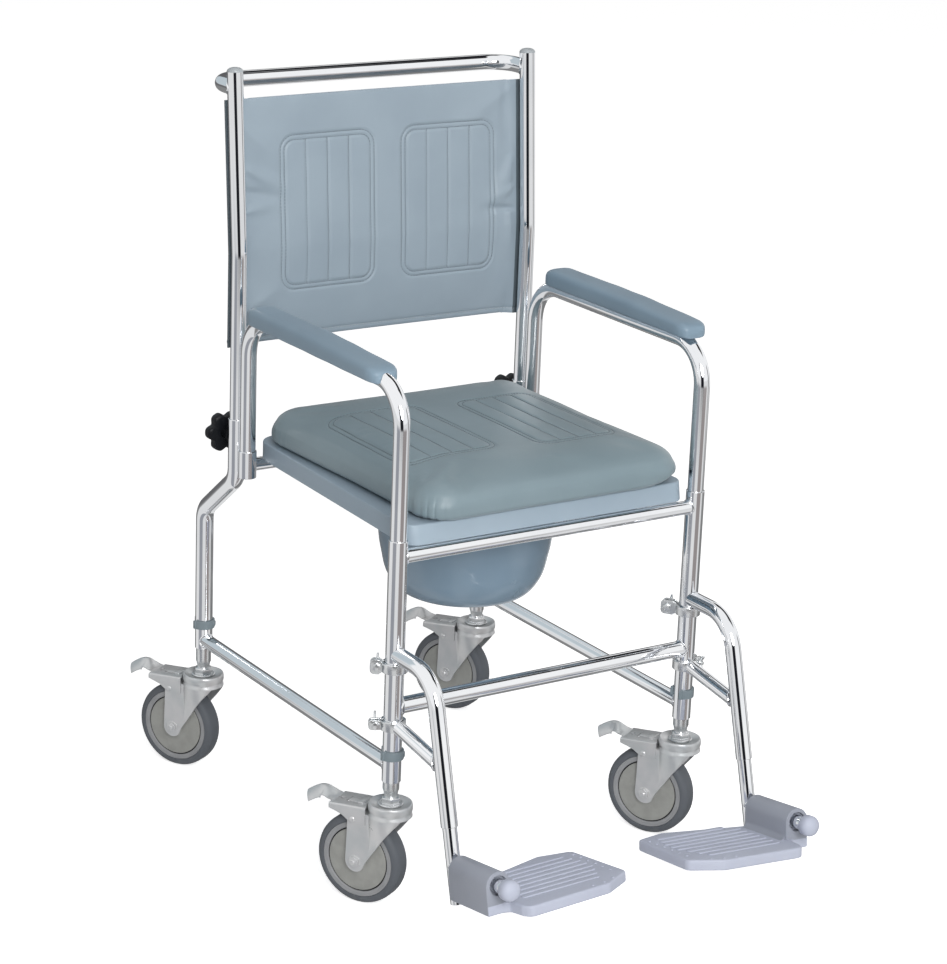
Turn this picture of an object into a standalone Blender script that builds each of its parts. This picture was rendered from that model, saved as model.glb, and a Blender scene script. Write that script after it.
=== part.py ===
# Wheeled commode chair: a welded tube frame on four braked swivel casters, with a lift-out back and arms,
# a padded seat over a commode seat and a pan, and two swing-away footrests.
# Lengths are in metres, +Z is up and the chair faces -Y. Inside the chair_origin empty, Y is 0 on the front
# legs' axes, X is 0 midway between them and Z is 0 on the floor.

import math

import bmesh
import bpy
from mathutils import Matrix, Vector

# Fits and tube sizes
GAP = 0.0003
OVER = 0.002
SLIDE_GAP = 0.0004
TUBE_WALL = 0.0013
LEG_R = 0.0127
SEAT_RAIL_R = 0.0095
SIDE_RAIL_R = 0.010
FOOT_R = 0.0095
LEG_BORE = LEG_R - TUBE_WALL
PLUG_R = LEG_BORE - GAP
STEM_R = LEG_BORE - SLIDE_GAP
HANGER_R = PLUG_R
FOOT_BORE = FOOT_R + GAP
TUBE_SIDES = 16
BORE_SIDES = 8

# Frame plan
HALF_TRACK = 0.2357
REAR_LEG_Y = 0.523
POST_Y = 0.430
ARM_REAR_Y = 0.400

# Casters, in a frame whose +Y is the trail and whose +X is the axle
TYRE_R = 0.0625
TYRE_HALF_WIDTH = 0.0155
TYRE_STEPS = 24
HUB_R = 0.0415
TRAIL = 0.040
TRAIL_TURN = math.radians(28.2)
CROWN_GAP = 0.007
HEAD_R = 0.030
HEAD_HEIGHT = 0.018
FORK_INNER = 0.018
FORK_PLATE = 0.0025
AXLE_R = 0.004
RIVET_R = 0.0025
RIVET_T = 0.045
PEDAL_PLATE = 0.0018
PEDAL_TAB_WIDTH = 0.028
CASTER_TOP = 2 * TYRE_R + CROWN_GAP + HEAD_HEIGHT

# Heights of the frame, each above what carries it
FRONT_STEM_SHOWN = 0.030
REAR_STEM_SHOWN = 0.039
STEM_INSIDE = 0.120
FRONT_LEG_BOTTOM = CASTER_TOP + FRONT_STEM_SHOWN
REAR_LEG_BOTTOM = CASTER_TOP + REAR_STEM_SHOWN
SIDE_RAIL_Z = CASTER_TOP + 0.0515
CROSS_TUBE_Z = SIDE_RAIL_Z + 0.0815
SEAT_RAIL_Z = SIDE_RAIL_Z + 0.2865
FRONT_LEG_TOP = SEAT_RAIL_Z + 0.023
REAR_MOUTH = SEAT_RAIL_Z + 0.070
REAR_CRANK_LOW = SEAT_RAIL_Z - 0.0885
REAR_CRANK_HIGH = SEAT_RAIL_Z - 0.016
CRANK_BEND_R = 0.032
SLEEVE_TOP = SEAT_RAIL_Z + 0.0317
SLEEVE_LENGTH = 0.0383
SLEEVE_WELD_HALF = 0.004

# Height clips
CLIP_WALL = 0.0032
CLIP_HEIGHT = 0.017
CLIP_LIP = 0.0045
CLIP_HALF_OPENING = math.radians(40)
CLIP_PIN_R = 0.0028
FRONT_CLIP_Z = SIDE_RAIL_Z + SIDE_RAIL_R + GAP + CLIP_HEIGHT / 2 + 0.001
REAR_CLIP_Z = FRONT_CLIP_Z + 0.0075

# Back
POST_INSIDE = 0.058
LEAN_Z = SEAT_RAIL_Z + 0.302
POST_TOP = SEAT_RAIL_Z + 0.549
LEAN = 0.0795
LEAN_BEND_R = 0.15
POST_CAP_R = 0.0123
POST_CAP_RISE = 0.0062
POST_CAP_SKIRT = 0.009
BAR_Z = SEAT_RAIL_Z + 0.5267
BAR_Y = POST_Y + 0.080
BAR_BEND_R = 0.036
SLING_HALF_WIDTH = 0.246
SLING_BOTTOM = SEAT_RAIL_Z + 0.169
SLING_TOP = SEAT_RAIL_Z + 0.509
SLING_THICKNESS = 0.009
SLING_EDGE = 0.004
SLING_SAG = 0.010
PANEL_INNER = 0.022
PANEL_OUTER = 0.176
PANEL_BOTTOM = SLING_BOTTOM + 0.070
PANEL_TOP = SLING_TOP - 0.049
PANEL_LINES = 3
CHANNEL_DEPTH = 0.0014
CHANNEL_HALF = 0.003

# Star knobs
KNOB_Z = SEAT_RAIL_Z + 0.042
KNOB_R = 0.0265
KNOB_LOBE = 0.0032
KNOB_LOBES = 6
KNOB_THICKNESS = 0.015
KNOB_NECK_R = 0.0095
KNOB_NECK = 0.016
STUD_R = 0.004

# Arms
ARM_Z = SEAT_RAIL_Z + 0.2235
ARM_BEND_R = 0.055
ARM_FRONT_INSIDE = 0.061
ARM_REAR_INSIDE = 0.036
PAD_FRONT_Y = 0.020
PAD_REAR_Y = ARM_REAR_Y - 0.042
PAD_HALF_WIDTH = 0.0225
PAD_HEIGHT = 0.0345
PAD_DROOP = 0.007

# Seat and cushion
SEAT_FRONT_Y = 0.005
SEAT_DEPTH = 0.432
SEAT_FRONT_HALF = HALF_TRACK - LEG_R - 0.0015
SEAT_REAR_HALF = 0.203
SEAT_CORNER_R = 0.028
SEAT_THICKNESS = 0.0267
SEAT_ROUND = 0.005
OPENING_Y = 0.205
OPENING_HALF_X = 0.105
OPENING_HALF_Y = 0.130
SEAT_BOTTOM = SEAT_RAIL_Z + SEAT_RAIL_R + GAP
SEAT_TOP = SEAT_BOTTOM + SEAT_THICKNESS
CUSHION_HALF_WIDTH = 0.199
CUSHION_FRONT_Y = -0.008
CUSHION_DEPTH = 0.423
CUSHION_CORNER_R = 0.048
CUSHION_EDGE = 0.045
CUSHION_CROWN = 0.013
CUSHION_DRAW_IN = 0.004

# Pan and its rails
PAN_RIM_R = 0.140
PAN_BODY_R = 0.1225
PAN_DEPTH = 0.136
PAN_WALL = 0.0022
PAN_RIM_HEIGHT = 0.004
PAN_CLEARANCE = 0.0025
LEDGE_TOP = SEAT_RAIL_Z - 0.018
LEDGE_PLATE = 0.002
PAN_RAIL_INSET = 0.0055

# Footrests, in a frame whose origin is on the front leg's axis
CLAMP_R = 0.017
CLAMP_BORE = LEG_R + 0.0005
CLAMP_HEIGHT = 0.017
EAR_REACH = 0.045
EAR_PLATE = 0.0025
EAR_SLOT = 0.006
EAR_HALF_HEIGHT = 0.009
CLAMP_BOLT_Y = 0.033
CLAMP_BOLT_R = 0.003
HANGER_TOP_Z = CROSS_TUBE_Z + 0.074
HANGER_END_Y = -0.0147
HANGER_BEND_R = 0.055
FOOT_LEAN = 0.27
HANGER_MOUTH = Vector((0, -0.1428, CROSS_TUBE_Z - 0.1122))
HANGER_BORE_DEPTH = 0.126
STRUT_Z = CROSS_TUBE_Z - 0.021
STRUT_SLOPE = 0.15
BAR_PITCH = math.radians(9)
BAR_BELOW_MOUTH = {"left": 0.0511, "right": 0.0640}
FOOT_TUBE_ABOVE_BAR = 0.136
FOOT_TUBE_BELOW_BAR = 0.048
HOUSING_REAR = 0.0142
HOUSING_FRONT = 0.1035
HOUSING_R = 0.018
COUNTERBORE_R = 0.013
COUNTERBORE_DEPTH = 0.006
PLATE_DROP = 0.0226
PLATE_THICKNESS = 0.0145
END_CAP_R = 0.015
END_CAP_LENGTH = 0.028
END_CAP_MIDDLE = 0.133
END_CAP_FLOOR = 0.012
GROOVES = 8
GROOVE_WIDTH = 0.003
GROOVE_DEPTH = 0.0009

SIDES = {"left": -1, "right": 1}
CORNERS = {
    "front_left": (-HALF_TRACK, 0, FRONT_LEG_BOTTOM, FRONT_CLIP_Z),
    "front_right": (HALF_TRACK, 0, FRONT_LEG_BOTTOM, FRONT_CLIP_Z),
    "rear_left": (-HALF_TRACK, REAR_LEG_Y, REAR_LEG_BOTTOM, REAR_CLIP_Z),
    "rear_right": (HALF_TRACK, REAR_LEG_Y, REAR_LEG_BOTTOM, REAR_CLIP_Z),
}

FINISHES = {
    "chrome_tube": ((0.80, 0.81, 0.82), 1.0, 0.12),
    "zinc_steel": ((0.66, 0.69, 0.70), 1.0, 0.32),
    "back_vinyl": ((0.32, 0.38, 0.43), 0.0, 0.55),
    "seat_vinyl": ((0.24, 0.29, 0.31), 0.0, 0.50),
    "arm_vinyl": ((0.30, 0.38, 0.45), 0.0, 0.50),
    "seat_plastic": ((0.42, 0.48, 0.52), 0.0, 0.45),
    "pan_plastic": ((0.38, 0.46, 0.52), 0.0, 0.35),
    "foot_plastic": ((0.42, 0.44, 0.50), 0.0, 0.55),
    "clip_plastic": ((0.33, 0.40, 0.44), 0.0, 0.50),
    "knob_plastic": ((0.02, 0.02, 0.022), 0.0, 0.45),
    "tyre_rubber": ((0.17, 0.18, 0.20), 0.0, 0.70),
    "hub_plastic": ((0.36, 0.36, 0.35), 0.0, 0.55),
}


# Scene, materials and objects

def clear_scene():
    for obj in list(bpy.data.objects):
        bpy.data.objects.remove(obj, do_unlink=True)


def new_collection(name):
    collection = bpy.data.collections.new(name)
    bpy.context.scene.collection.children.link(collection)
    return collection


clear_scene()
PARTS = new_collection("commode_chair")
CUTTERS = new_collection("cutters")


def material(name):
    found = bpy.data.materials.get(name)
    if found:
        return found
    color, metallic, roughness = FINISHES[name]
    made = bpy.data.materials.new(name)
    made.use_nodes = True
    shader = made.node_tree.nodes["Principled BSDF"]
    shader.inputs["Base Color"].default_value = (*color, 1)
    shader.inputs["Metallic"].default_value = metallic
    shader.inputs["Roughness"].default_value = roughness
    return made


def empty(name, parent=None, location=(0, 0, 0), rotation=(0, 0, 0)):
    made = bpy.data.objects.new(name, None)
    made.empty_display_size = 0.03
    made.parent = parent
    made.location = location
    made.rotation_euler = rotation
    PARTS.objects.link(made)
    return made


def piece(name, mesh, finish, parent, location=(0, 0, 0), rotation=(0, 0, 0)):
    made = bpy.data.objects.new(name, mesh)
    if not mesh.materials:
        mesh.materials.append(material(finish))
        mesh.shade_smooth()
        mesh.set_sharp_from_angle(angle=math.radians(35))
    made.parent = parent
    made.location = location
    made.rotation_euler = rotation
    PARTS.objects.link(made)
    return made


def helper(target, mesh, operation):
    made = bpy.data.objects.new(f"{target.name}_{operation.lower()}", mesh)
    made.hide_render = True
    made.display_type = "WIRE"
    made.parent = target.parent
    made.location = target.location
    made.rotation_euler = target.rotation_euler
    CUTTERS.objects.link(made)
    modifier = target.modifiers.new(operation.title(), "BOOLEAN")
    modifier.operation = operation
    modifier.object = made
    return made


def join(target, *meshes):
    for mesh in meshes:
        helper(target, mesh, "UNION")


def cut(target, *meshes):
    for mesh in meshes:
        helper(target, mesh, "DIFFERENCE")


def evaluated_mesh(obj):
    bpy.context.view_layer.update()
    graph = bpy.context.evaluated_depsgraph_get()
    return bpy.data.meshes.new_from_object(obj.evaluated_get(graph), depsgraph=graph)


def combined(name, base, joins=(), cuts=()):
    """One mesh, for pieces whose copies share it: base with the joins added and the cuts taken out."""
    target = bpy.data.objects.new(name, base)
    CUTTERS.objects.link(target)
    join(target, *joins)
    cut(target, *cuts)
    mesh = evaluated_mesh(target)
    mesh.name = name
    for modifier in list(target.modifiers):
        bpy.data.objects.remove(modifier.object, do_unlink=True)
    bpy.data.objects.remove(target, do_unlink=True)
    return mesh


# Shapes

def mesh_of(obj):
    """The evaluated mesh of a curve or modified object that is linked only for this, with its caps welded."""
    CUTTERS.objects.link(obj)
    mesh = evaluated_mesh(obj)
    bpy.data.objects.remove(obj, do_unlink=True)
    shape = bmesh.new()
    shape.from_mesh(mesh)
    bmesh.ops.remove_doubles(shape, verts=shape.verts, dist=1e-6)
    bmesh.ops.recalc_face_normals(shape, faces=shape.faces)
    shape.to_mesh(mesh)
    shape.free()
    return mesh


def moved(mesh, matrix):
    mesh.transform(matrix)
    if matrix.determinant() < 0:
        mesh.flip_normals()
    return mesh


def shifted(mesh, x=0, y=0, z=0):
    return moved(mesh, Matrix.Translation((x, y, z)))


def rounded_path(corners, radius, steps):
    """The corners' polyline with an arc of this radius at each inner corner."""
    corners = [Vector(corner) for corner in corners]
    points = [corners[0]]
    for before, corner, after in zip(corners, corners[1:], corners[2:]):
        back = (before - corner).normalized()
        ahead = (after - corner).normalized()
        turn = math.pi - back.angle(ahead)
        centre = corner + (back + ahead).normalized() * radius / math.cos(turn / 2)
        arm = corner + back * radius * math.tan(turn / 2) - centre
        axis = ahead.cross(back)
        points += [centre + Matrix.Rotation(turn * step / steps, 3, axis) @ arm for step in range(steps + 1)]
    points.append(corners[-1])
    return points


def rounded_outline(corners, radius, steps):
    """A closed outline with an arc at each corner; radius is one value, or one for each corner."""
    radii = radius if isinstance(radius, (list, tuple)) else [radius] * len(corners)
    points = []
    for index, corner in enumerate(corners):
        if radii[index] == 0:
            points.append(tuple(corner))
            continue
        before = Vector((*corners[index - 1], 0))
        after = Vector((*corners[(index + 1) % len(corners)], 0))
        arc = rounded_path([before, Vector((*corner, 0)), after], radii[index], steps)[1:-1]
        points += [(point.x, point.y) for point in arc]
    return points


def arc_points(radius, start, end, steps, centre=(0, 0)):
    angles = [start + (end - start) * step / steps for step in range(steps + 1)]
    return [(centre[0] + radius * math.cos(angle), centre[1] + radius * math.sin(angle)) for angle in angles]


def tube(points, radius, sides=TUBE_SIDES):
    curve = bpy.data.curves.new("tube", "CURVE")
    curve.dimensions = "3D"
    curve.bevel_depth = radius
    curve.bevel_resolution = (sides - 4) // 2
    curve.use_fill_caps = True
    spline = curve.splines.new("POLY")
    spline.points.add(len(points) - 1)
    for place, point in zip(spline.points, points):
        place.co = (*point, 1)
    return mesh_of(bpy.data.objects.new("tube", curve))


def rod(start, end, radius, sides=BORE_SIDES):
    """A straight cylinder or prism between two points."""
    start, end = Vector(start), Vector(end)
    mesh = bpy.data.meshes.new("rod")
    shape = bmesh.new()
    bmesh.ops.create_cone(
        shape, cap_ends=True, segments=sides, radius1=radius, radius2=radius, depth=(end - start).length
    )
    turn = (end - start).to_track_quat("Z", "Y").to_matrix().to_4x4()
    half_step = Matrix.Rotation(math.pi / sides, 4, "Z")
    shape.transform(Matrix.Translation((start + end) / 2) @ turn @ half_step)
    shape.to_mesh(mesh)
    shape.free()
    return mesh


def box(low, high):
    low, high = Vector(low), Vector(high)
    mesh = bpy.data.meshes.new("box")
    shape = bmesh.new()
    bmesh.ops.create_cube(shape, size=1)
    shape.transform(Matrix.Translation((low + high) / 2) @ Matrix.Diagonal((*(high - low), 1)))
    shape.to_mesh(mesh)
    shape.free()
    return mesh


def extrusion(outline, thickness, axis="Z", holes=(), rounding=0.0):
    """A flat outline given a thickness, centred on 0 along axis. The outline is (X, Y), (X, Z) or (Y, Z)."""
    curve = bpy.data.curves.new("outline", "CURVE")
    curve.dimensions = "2D"
    curve.fill_mode = "BOTH"
    curve.extrude = thickness / 2 - rounding
    curve.bevel_depth = rounding
    curve.bevel_resolution = 1 if rounding else 0
    curve.offset = -rounding
    for points in (outline, *holes):
        spline = curve.splines.new("POLY")
        spline.points.add(len(points) - 1)
        spline.use_cyclic_u = True
        for place, (a, b) in zip(spline.points, points):
            place.co = (a, b, 0, 1)
    mesh = mesh_of(bpy.data.objects.new("outline", curve))
    turns = {
        "Z": Matrix.Identity(4),
        "Y": Matrix.Rotation(math.pi / 2, 4, "X"),
        "X": Matrix(((0, 0, 1, 0), (1, 0, 0, 0), (0, 1, 0, 0), (0, 0, 0, 1))),
    }
    return moved(mesh, turns[axis])


def turned(profile, steps, closed=False, start=0.0):
    """A profile of (radius, height) turned about Z. It runs down the outer side."""
    mesh = bpy.data.meshes.new("profile")
    points = [(radius * math.cos(start), radius * math.sin(start), height) for radius, height in profile]
    edges = [(index, index + 1) for index in range(len(points) - 1)]
    if closed:
        edges.append((len(points) - 1, 0))
    mesh.from_pydata(points, edges, [])
    obj = bpy.data.objects.new("turned", mesh)
    screw = obj.modifiers.new("Screw", "SCREW")
    screw.steps = steps
    screw.render_steps = steps
    screw.use_merge_vertices = True
    screw.merge_threshold = 0.0001
    return mesh_of(obj)


def along_x(mesh):
    return moved(mesh, Matrix.Rotation(math.pi / 2, 4, "Y"))


def loft(rings):
    """A closed skin over rings of equal count, with a flat cap on each end."""
    mesh = bpy.data.meshes.new("loft")
    shape = bmesh.new()
    rows = [[shape.verts.new(point) for point in ring] for ring in rings]
    for lower, upper in zip(rows, rows[1:]):
        for index in range(len(lower)):
            after = (index + 1) % len(lower)
            shape.faces.new((lower[index], lower[after], upper[after], upper[index]))
    shape.faces.new(list(reversed(rows[0])))
    shape.faces.new(rows[-1])
    bmesh.ops.recalc_face_normals(shape, faces=shape.faces)
    shape.to_mesh(mesh)
    shape.free()
    return mesh


# Frame

def rear_leg_path():
    corners = [
        (0, REAR_LEG_Y, REAR_LEG_BOTTOM),
        (0, REAR_LEG_Y, REAR_CRANK_LOW),
        (0, POST_Y, REAR_CRANK_HIGH),
        (0, POST_Y, REAR_MOUTH),
    ]
    return rounded_path(corners, CRANK_BEND_R, 4)


def leg_sleeve(y, low, high):
    """The space that a leg and its saddle gap take, for the ends of the tubes welded to it."""
    return tube([(0, y, low), (0, y, high)], LEG_R + GAP)


def pin_hole(y, z):
    return rod((LEG_BORE - OVER, y, z), (LEG_R + OVER, y, z), CLIP_PIN_R + GAP)


def make_front_leg(side, origin):
    wall = [(LEG_BORE, FRONT_LEG_TOP), (LEG_R, FRONT_LEG_TOP), (LEG_R, FRONT_LEG_BOTTOM), (LEG_BORE, FRONT_LEG_BOTTOM)]
    sleeve = turned(wall, TUBE_SIDES, True, math.pi / TUBE_SIDES)
    leg = piece(f"front_leg_{side}", sleeve, "chrome_tube", origin, (SIDES[side] * HALF_TRACK, 0, 0))
    cut(leg, pin_hole(0, FRONT_CLIP_Z))


def make_rear_leg(side, origin):
    leg = piece(
        f"rear_leg_{side}", tube(rear_leg_path(), LEG_R), "chrome_tube", origin, (SIDES[side] * HALF_TRACK, 0, 0)
    )
    sleeve_bottom = SLEEVE_TOP - SLEEVE_LENGTH
    weld = TUBE_WALL * 0.6
    join(
        leg,
        tube([(0, ARM_REAR_Y, sleeve_bottom), (0, ARM_REAR_Y, SLEEVE_TOP)], LEG_R),
        box(
            (-SLEEVE_WELD_HALF, ARM_REAR_Y + LEG_R - weld, sleeve_bottom + OVER * 2),
            (SLEEVE_WELD_HALF, POST_Y - LEG_R + weld, SLEEVE_TOP - OVER),
        ),
    )
    mouth_floor = REAR_MOUTH - POST_INSIDE - OVER * 3
    stem_top = REAR_LEG_BOTTOM + STEM_INSIDE + OVER * 3
    stud_z = KNOB_Z
    cut(
        leg,
        tube([(0, POST_Y, mouth_floor), (0, POST_Y, REAR_MOUTH + OVER)], LEG_BORE),
        tube([(0, ARM_REAR_Y, sleeve_bottom - OVER), (0, ARM_REAR_Y, SLEEVE_TOP + OVER)], LEG_BORE),
        tube([(0, REAR_LEG_Y, REAR_LEG_BOTTOM - OVER), (0, REAR_LEG_Y, stem_top)], LEG_BORE),
        rod((0, POST_Y + LEG_BORE - OVER, stud_z), (0, POST_Y + LEG_R + OVER, stud_z), STUD_R + GAP),
        pin_hole(REAR_LEG_Y, REAR_CLIP_Z),
    )


def make_side_rail(side, origin):
    rail = piece(
        f"side_rail_{side}",
        tube([(0, LEG_R / 2, SIDE_RAIL_Z), (0, REAR_LEG_Y - LEG_R / 2, SIDE_RAIL_Z)], SIDE_RAIL_R),
        "chrome_tube",
        origin,
        (SIDES[side] * HALF_TRACK, 0, 0),
    )
    reach = SIDE_RAIL_R + OVER
    cut(
        rail,
        rod((0, 0, SIDE_RAIL_Z), (0, REAR_LEG_Y, SIDE_RAIL_Z), SIDE_RAIL_R - TUBE_WALL),
        leg_sleeve(0, SIDE_RAIL_Z - reach, SIDE_RAIL_Z + reach),
        leg_sleeve(REAR_LEG_Y, SIDE_RAIL_Z - reach, SIDE_RAIL_Z + reach),
    )


def make_cross_rail(name, radius, y, z, saddle, origin):
    """A tube from side to side, saddled on the two legs whose space the saddle function gives."""
    reach = HALF_TRACK - LEG_R / 2
    rail = piece(name, tube([(-reach, y, z), (reach, y, z)], radius), "chrome_tube", origin)
    cut(
        rail,
        rod((-HALF_TRACK, y, z), (HALF_TRACK, y, z), radius - TUBE_WALL),
        shifted(saddle(), x=-HALF_TRACK),
        shifted(saddle(), x=HALF_TRACK),
    )


def make_pan_rail(side, origin):
    """A pressed angle: its web hangs from the two seat rails and its ledge carries the pan's rim."""
    web_inner = PAN_RIM_R + PAN_CLEARANCE
    web_outer = web_inner + LEDGE_PLATE
    ledge_inner = PAN_BODY_R + PAN_WALL
    ledge_bottom = LEDGE_TOP - LEDGE_PLATE
    web_top = SEAT_RAIL_Z + SEAT_RAIL_R - 0.001
    sign = SIDES[side]
    section = [
        (sign * ledge_inner, ledge_bottom),
        (sign * web_outer, ledge_bottom),
        (sign * web_outer, web_top),
        (sign * web_inner, web_top),
        (sign * web_inner, LEDGE_TOP),
        (sign * ledge_inner, LEDGE_TOP),
    ]
    rail = piece(
        f"pan_rail_{side}",
        shifted(extrusion(section, POST_Y - 2 * PAN_RAIL_INSET, "Y"), y=POST_Y / 2),
        "zinc_steel",
        origin,
    )
    for y in (0, POST_Y):
        cut(rail, tube([(-HALF_TRACK, y, SEAT_RAIL_Z), (HALF_TRACK, y, SEAT_RAIL_Z)], SEAT_RAIL_R + GAP))


def height_clip_mesh():
    """A spring clip open on its -X side, with the pin that goes through the leg's wall."""
    inner = LEG_R + GAP
    outer = inner + CLIP_WALL
    end = math.pi - CLIP_HALF_OPENING
    lip = outer + CLIP_LIP
    tip = end + CLIP_HALF_OPENING * 0.15
    outline = (
        arc_points(outer, -end + 0.2, end - 0.2, 12)
        + [(lip * math.cos(tip - 0.25), lip * math.sin(tip - 0.25)), (lip * math.cos(tip), lip * math.sin(tip))]
        + arc_points(inner, end, -end, 14)
        + [(lip * math.cos(tip), -lip * math.sin(tip)), (lip * math.cos(tip - 0.25), -lip * math.sin(tip - 0.25))]
    )
    ring = extrusion(outline, CLIP_HEIGHT, "Z")
    pin = rod((STEM_R + GAP, 0, 0), (inner + CLIP_WALL / 2, 0, 0), CLIP_PIN_R)
    return combined("height_clip", ring, [pin])


def make_frame(origin):
    for side in SIDES:
        make_front_leg(side, origin)
        make_rear_leg(side, origin)
        make_side_rail(side, origin)
        make_pan_rail(side, origin)
    def front_saddle():
        return leg_sleeve(0, CROSS_TUBE_Z - LEG_R * 2, FRONT_LEG_TOP)

    def rear_saddle():
        return tube(rear_leg_path(), LEG_R + GAP)

    make_cross_rail("front_seat_rail", SEAT_RAIL_R, 0, SEAT_RAIL_Z, front_saddle, origin)
    make_cross_rail("rear_seat_rail", SEAT_RAIL_R, POST_Y, SEAT_RAIL_Z, rear_saddle, origin)
    make_cross_rail("front_cross_tube", PLUG_R, 0, CROSS_TUBE_Z, front_saddle, origin)
    clip = height_clip_mesh()
    for corner, (x, y, _, clip_z) in CORNERS.items():
        piece(f"{corner}_height_clip", clip, "clip_plastic", origin, (x, y, clip_z))


# Back

def post_path():
    top = (0, POST_Y + LEAN * (POST_TOP - LEAN_Z), POST_TOP)
    bottom = (0, POST_Y, REAR_MOUTH - POST_INSIDE)
    return rounded_path([bottom, (0, POST_Y, LEAN_Z), top], LEAN_BEND_R, 2)


def post_y(z):
    return POST_Y + LEAN * max(0.0, z - LEAN_Z)


def post_cap():
    profile = [(0, POST_CAP_RISE)]
    profile += [
        (POST_CAP_R * math.sin(angle), POST_CAP_RISE * math.cos(angle))
        for angle in (math.radians(degrees) for degrees in (30, 55, 78))
    ]
    profile += [(POST_CAP_R, -POST_CAP_RISE / 2), (POST_CAP_R, -POST_CAP_SKIRT), (0, -POST_CAP_SKIRT)]
    tilt = Matrix.Rotation(-math.atan(LEAN), 4, "X")
    place = Matrix.Translation((0, post_y(POST_TOP), POST_TOP))
    return moved(turned(profile, TUBE_SIDES, start=math.pi / TUBE_SIDES), place @ tilt)


def make_back(origin):
    back = empty("back_slide", origin, (0, POST_Y, REAR_MOUTH))
    lower = (0, -POST_Y, -REAR_MOUTH)
    for side, sign in SIDES.items():
        place = Vector(lower) + Vector((sign * HALF_TRACK, 0, 0))
        post = piece(f"back_post_{side}", tube(post_path(), PLUG_R), "chrome_tube", back, place)
        join(post, post_cap())
        floor = (0, POST_Y, REAR_MOUTH - POST_INSIDE - OVER)
        cut(post, tube([floor, (0, POST_Y, LEAN_Z - OVER)], PLUG_R - TUBE_WALL, BORE_SIDES))
    make_push_bar(back, lower)
    piece("back_sling", sling_mesh(), "back_vinyl", back, lower)


def make_push_bar(back, place):
    """A U behind the posts, whose ends are saddled on them."""
    corners = [(x, y, BAR_Z) for x, y in (
        (-HALF_TRACK, post_y(BAR_Z)), (-HALF_TRACK, BAR_Y), (HALF_TRACK, BAR_Y), (HALF_TRACK, post_y(BAR_Z))
    )]
    path = rounded_path(corners, BAR_BEND_R, 5)
    bar = piece("push_bar", tube(path, PLUG_R), "chrome_tube", back, place)
    cut(bar, tube(path, PLUG_R - TUBE_WALL, BORE_SIDES))
    for sign in SIDES.values():
        cut(bar, shifted(tube(post_path(), PLUG_R + GAP), x=sign * HALF_TRACK))


def panel_stations(low, high, lines):
    """Stations across one stitched panel: three at each channel, its two edges and its middle."""
    middles = [low + (high - low) * index / (lines + 1) for index in range(lines + 2)]
    return [middle + step * CHANNEL_HALF for middle in middles for step in (-1, 0, 1)]


def channel_depth(distance, along, low, high):
    """How far a channel presses in at this distance from its middle line, and along it between low and high."""
    across = max(0.0, 1 - abs(distance) / CHANNEL_HALF)
    inside = low - CHANNEL_HALF / 2 <= along <= high + CHANNEL_HALF / 2
    return CHANNEL_DEPTH * across if inside else 0.0


def panel_press(a, b, panel_a, panel_b):
    """The depth of the stitched panels at (a, b): lines at set values of a, and a frame round each panel."""
    pressed = 0.0
    for sign in (-1, 1):
        low, high = sorted((sign * panel_a[0], sign * panel_a[1]))
        for index in range(PANEL_LINES + 2):
            line = low + (high - low) * index / (PANEL_LINES + 1)
            pressed = max(pressed, channel_depth(a - line, b, *panel_b))
        for edge in panel_b:
            pressed = max(pressed, channel_depth(b - edge, a, low, high))
    return pressed


def sheet_stations(half_width, panel):
    right = panel_stations(panel[0], panel[1], PANEL_LINES) + [half_width - 0.022, half_width]
    return [-value for value in reversed(right)] + right


def sling_mesh():
    """Padded vinyl behind the posts: it sags between them, its panels are pressed in, and its right edge puckers."""
    across = sheet_stations(SLING_HALF_WIDTH, (PANEL_INNER, PANEL_OUTER))
    panel_heights = [PANEL_BOTTOM + step * CHANNEL_HALF for step in (-1, 0, 1)]
    panel_heights += [(PANEL_BOTTOM + PANEL_TOP) / 2]
    panel_heights += [PANEL_TOP + step * CHANNEL_HALF for step in (-1, 0, 1)]
    up = [SLING_BOTTOM, SLING_BOTTOM + 0.02, *panel_heights[:3], LEAN_Z, *panel_heights[3:], SLING_TOP - 0.012, SLING_TOP]

    def front(x, z):
        share = x / (HALF_TRACK - PLUG_R)
        sag = SLING_SAG * max(0.0, 1 - share * share)
        pucker = 0.0014 * math.sin(z * 95) * max(0.0, abs(share) - 0.72) * sag / SLING_SAG
        press = panel_press(x, z, (PANEL_INNER, PANEL_OUTER), (PANEL_BOTTOM, PANEL_TOP))
        return post_y(z) + PLUG_R + GAP + sag + press + max(0.0, pucker)

    def thickness(x, z):
        rim = min((SLING_HALF_WIDTH - abs(x)) / 0.02, (z - SLING_BOTTOM) / 0.02, (SLING_TOP - z) / 0.02, 1.0)
        swell = math.sqrt(max(0.0, rim * (2 - rim)))
        return SLING_EDGE + (SLING_THICKNESS - SLING_EDGE) * swell

    rings = []
    for x in across:
        fore = [(x, front(x, z), z) for z in up]
        aft = [(x, front(x, z) + thickness(x, z), z) for z in reversed(up)]
        rings.append(fore + aft)
    return capped_strip(rings)


def capped_strip(rings):
    """A closed skin over rings whose two halves face each other: each end is closed by quads between the halves."""
    mesh = bpy.data.meshes.new("strip")
    shape = bmesh.new()
    rows = [[shape.verts.new(point) for point in ring] for ring in rings]
    count = len(rows[0])
    for lower, upper in zip(rows, rows[1:]):
        for index in range(count):
            after = (index + 1) % count
            shape.faces.new((lower[index], lower[after], upper[after], upper[index]))
    for row in (rows[0], rows[-1]):
        for index in range(count // 2 - 1):
            shape.faces.new((row[index], row[index + 1], row[count - 2 - index], row[count - 1 - index]))
    bmesh.ops.recalc_face_normals(shape, faces=shape.faces)
    shape.to_mesh(mesh)
    shape.free()
    return mesh


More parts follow.
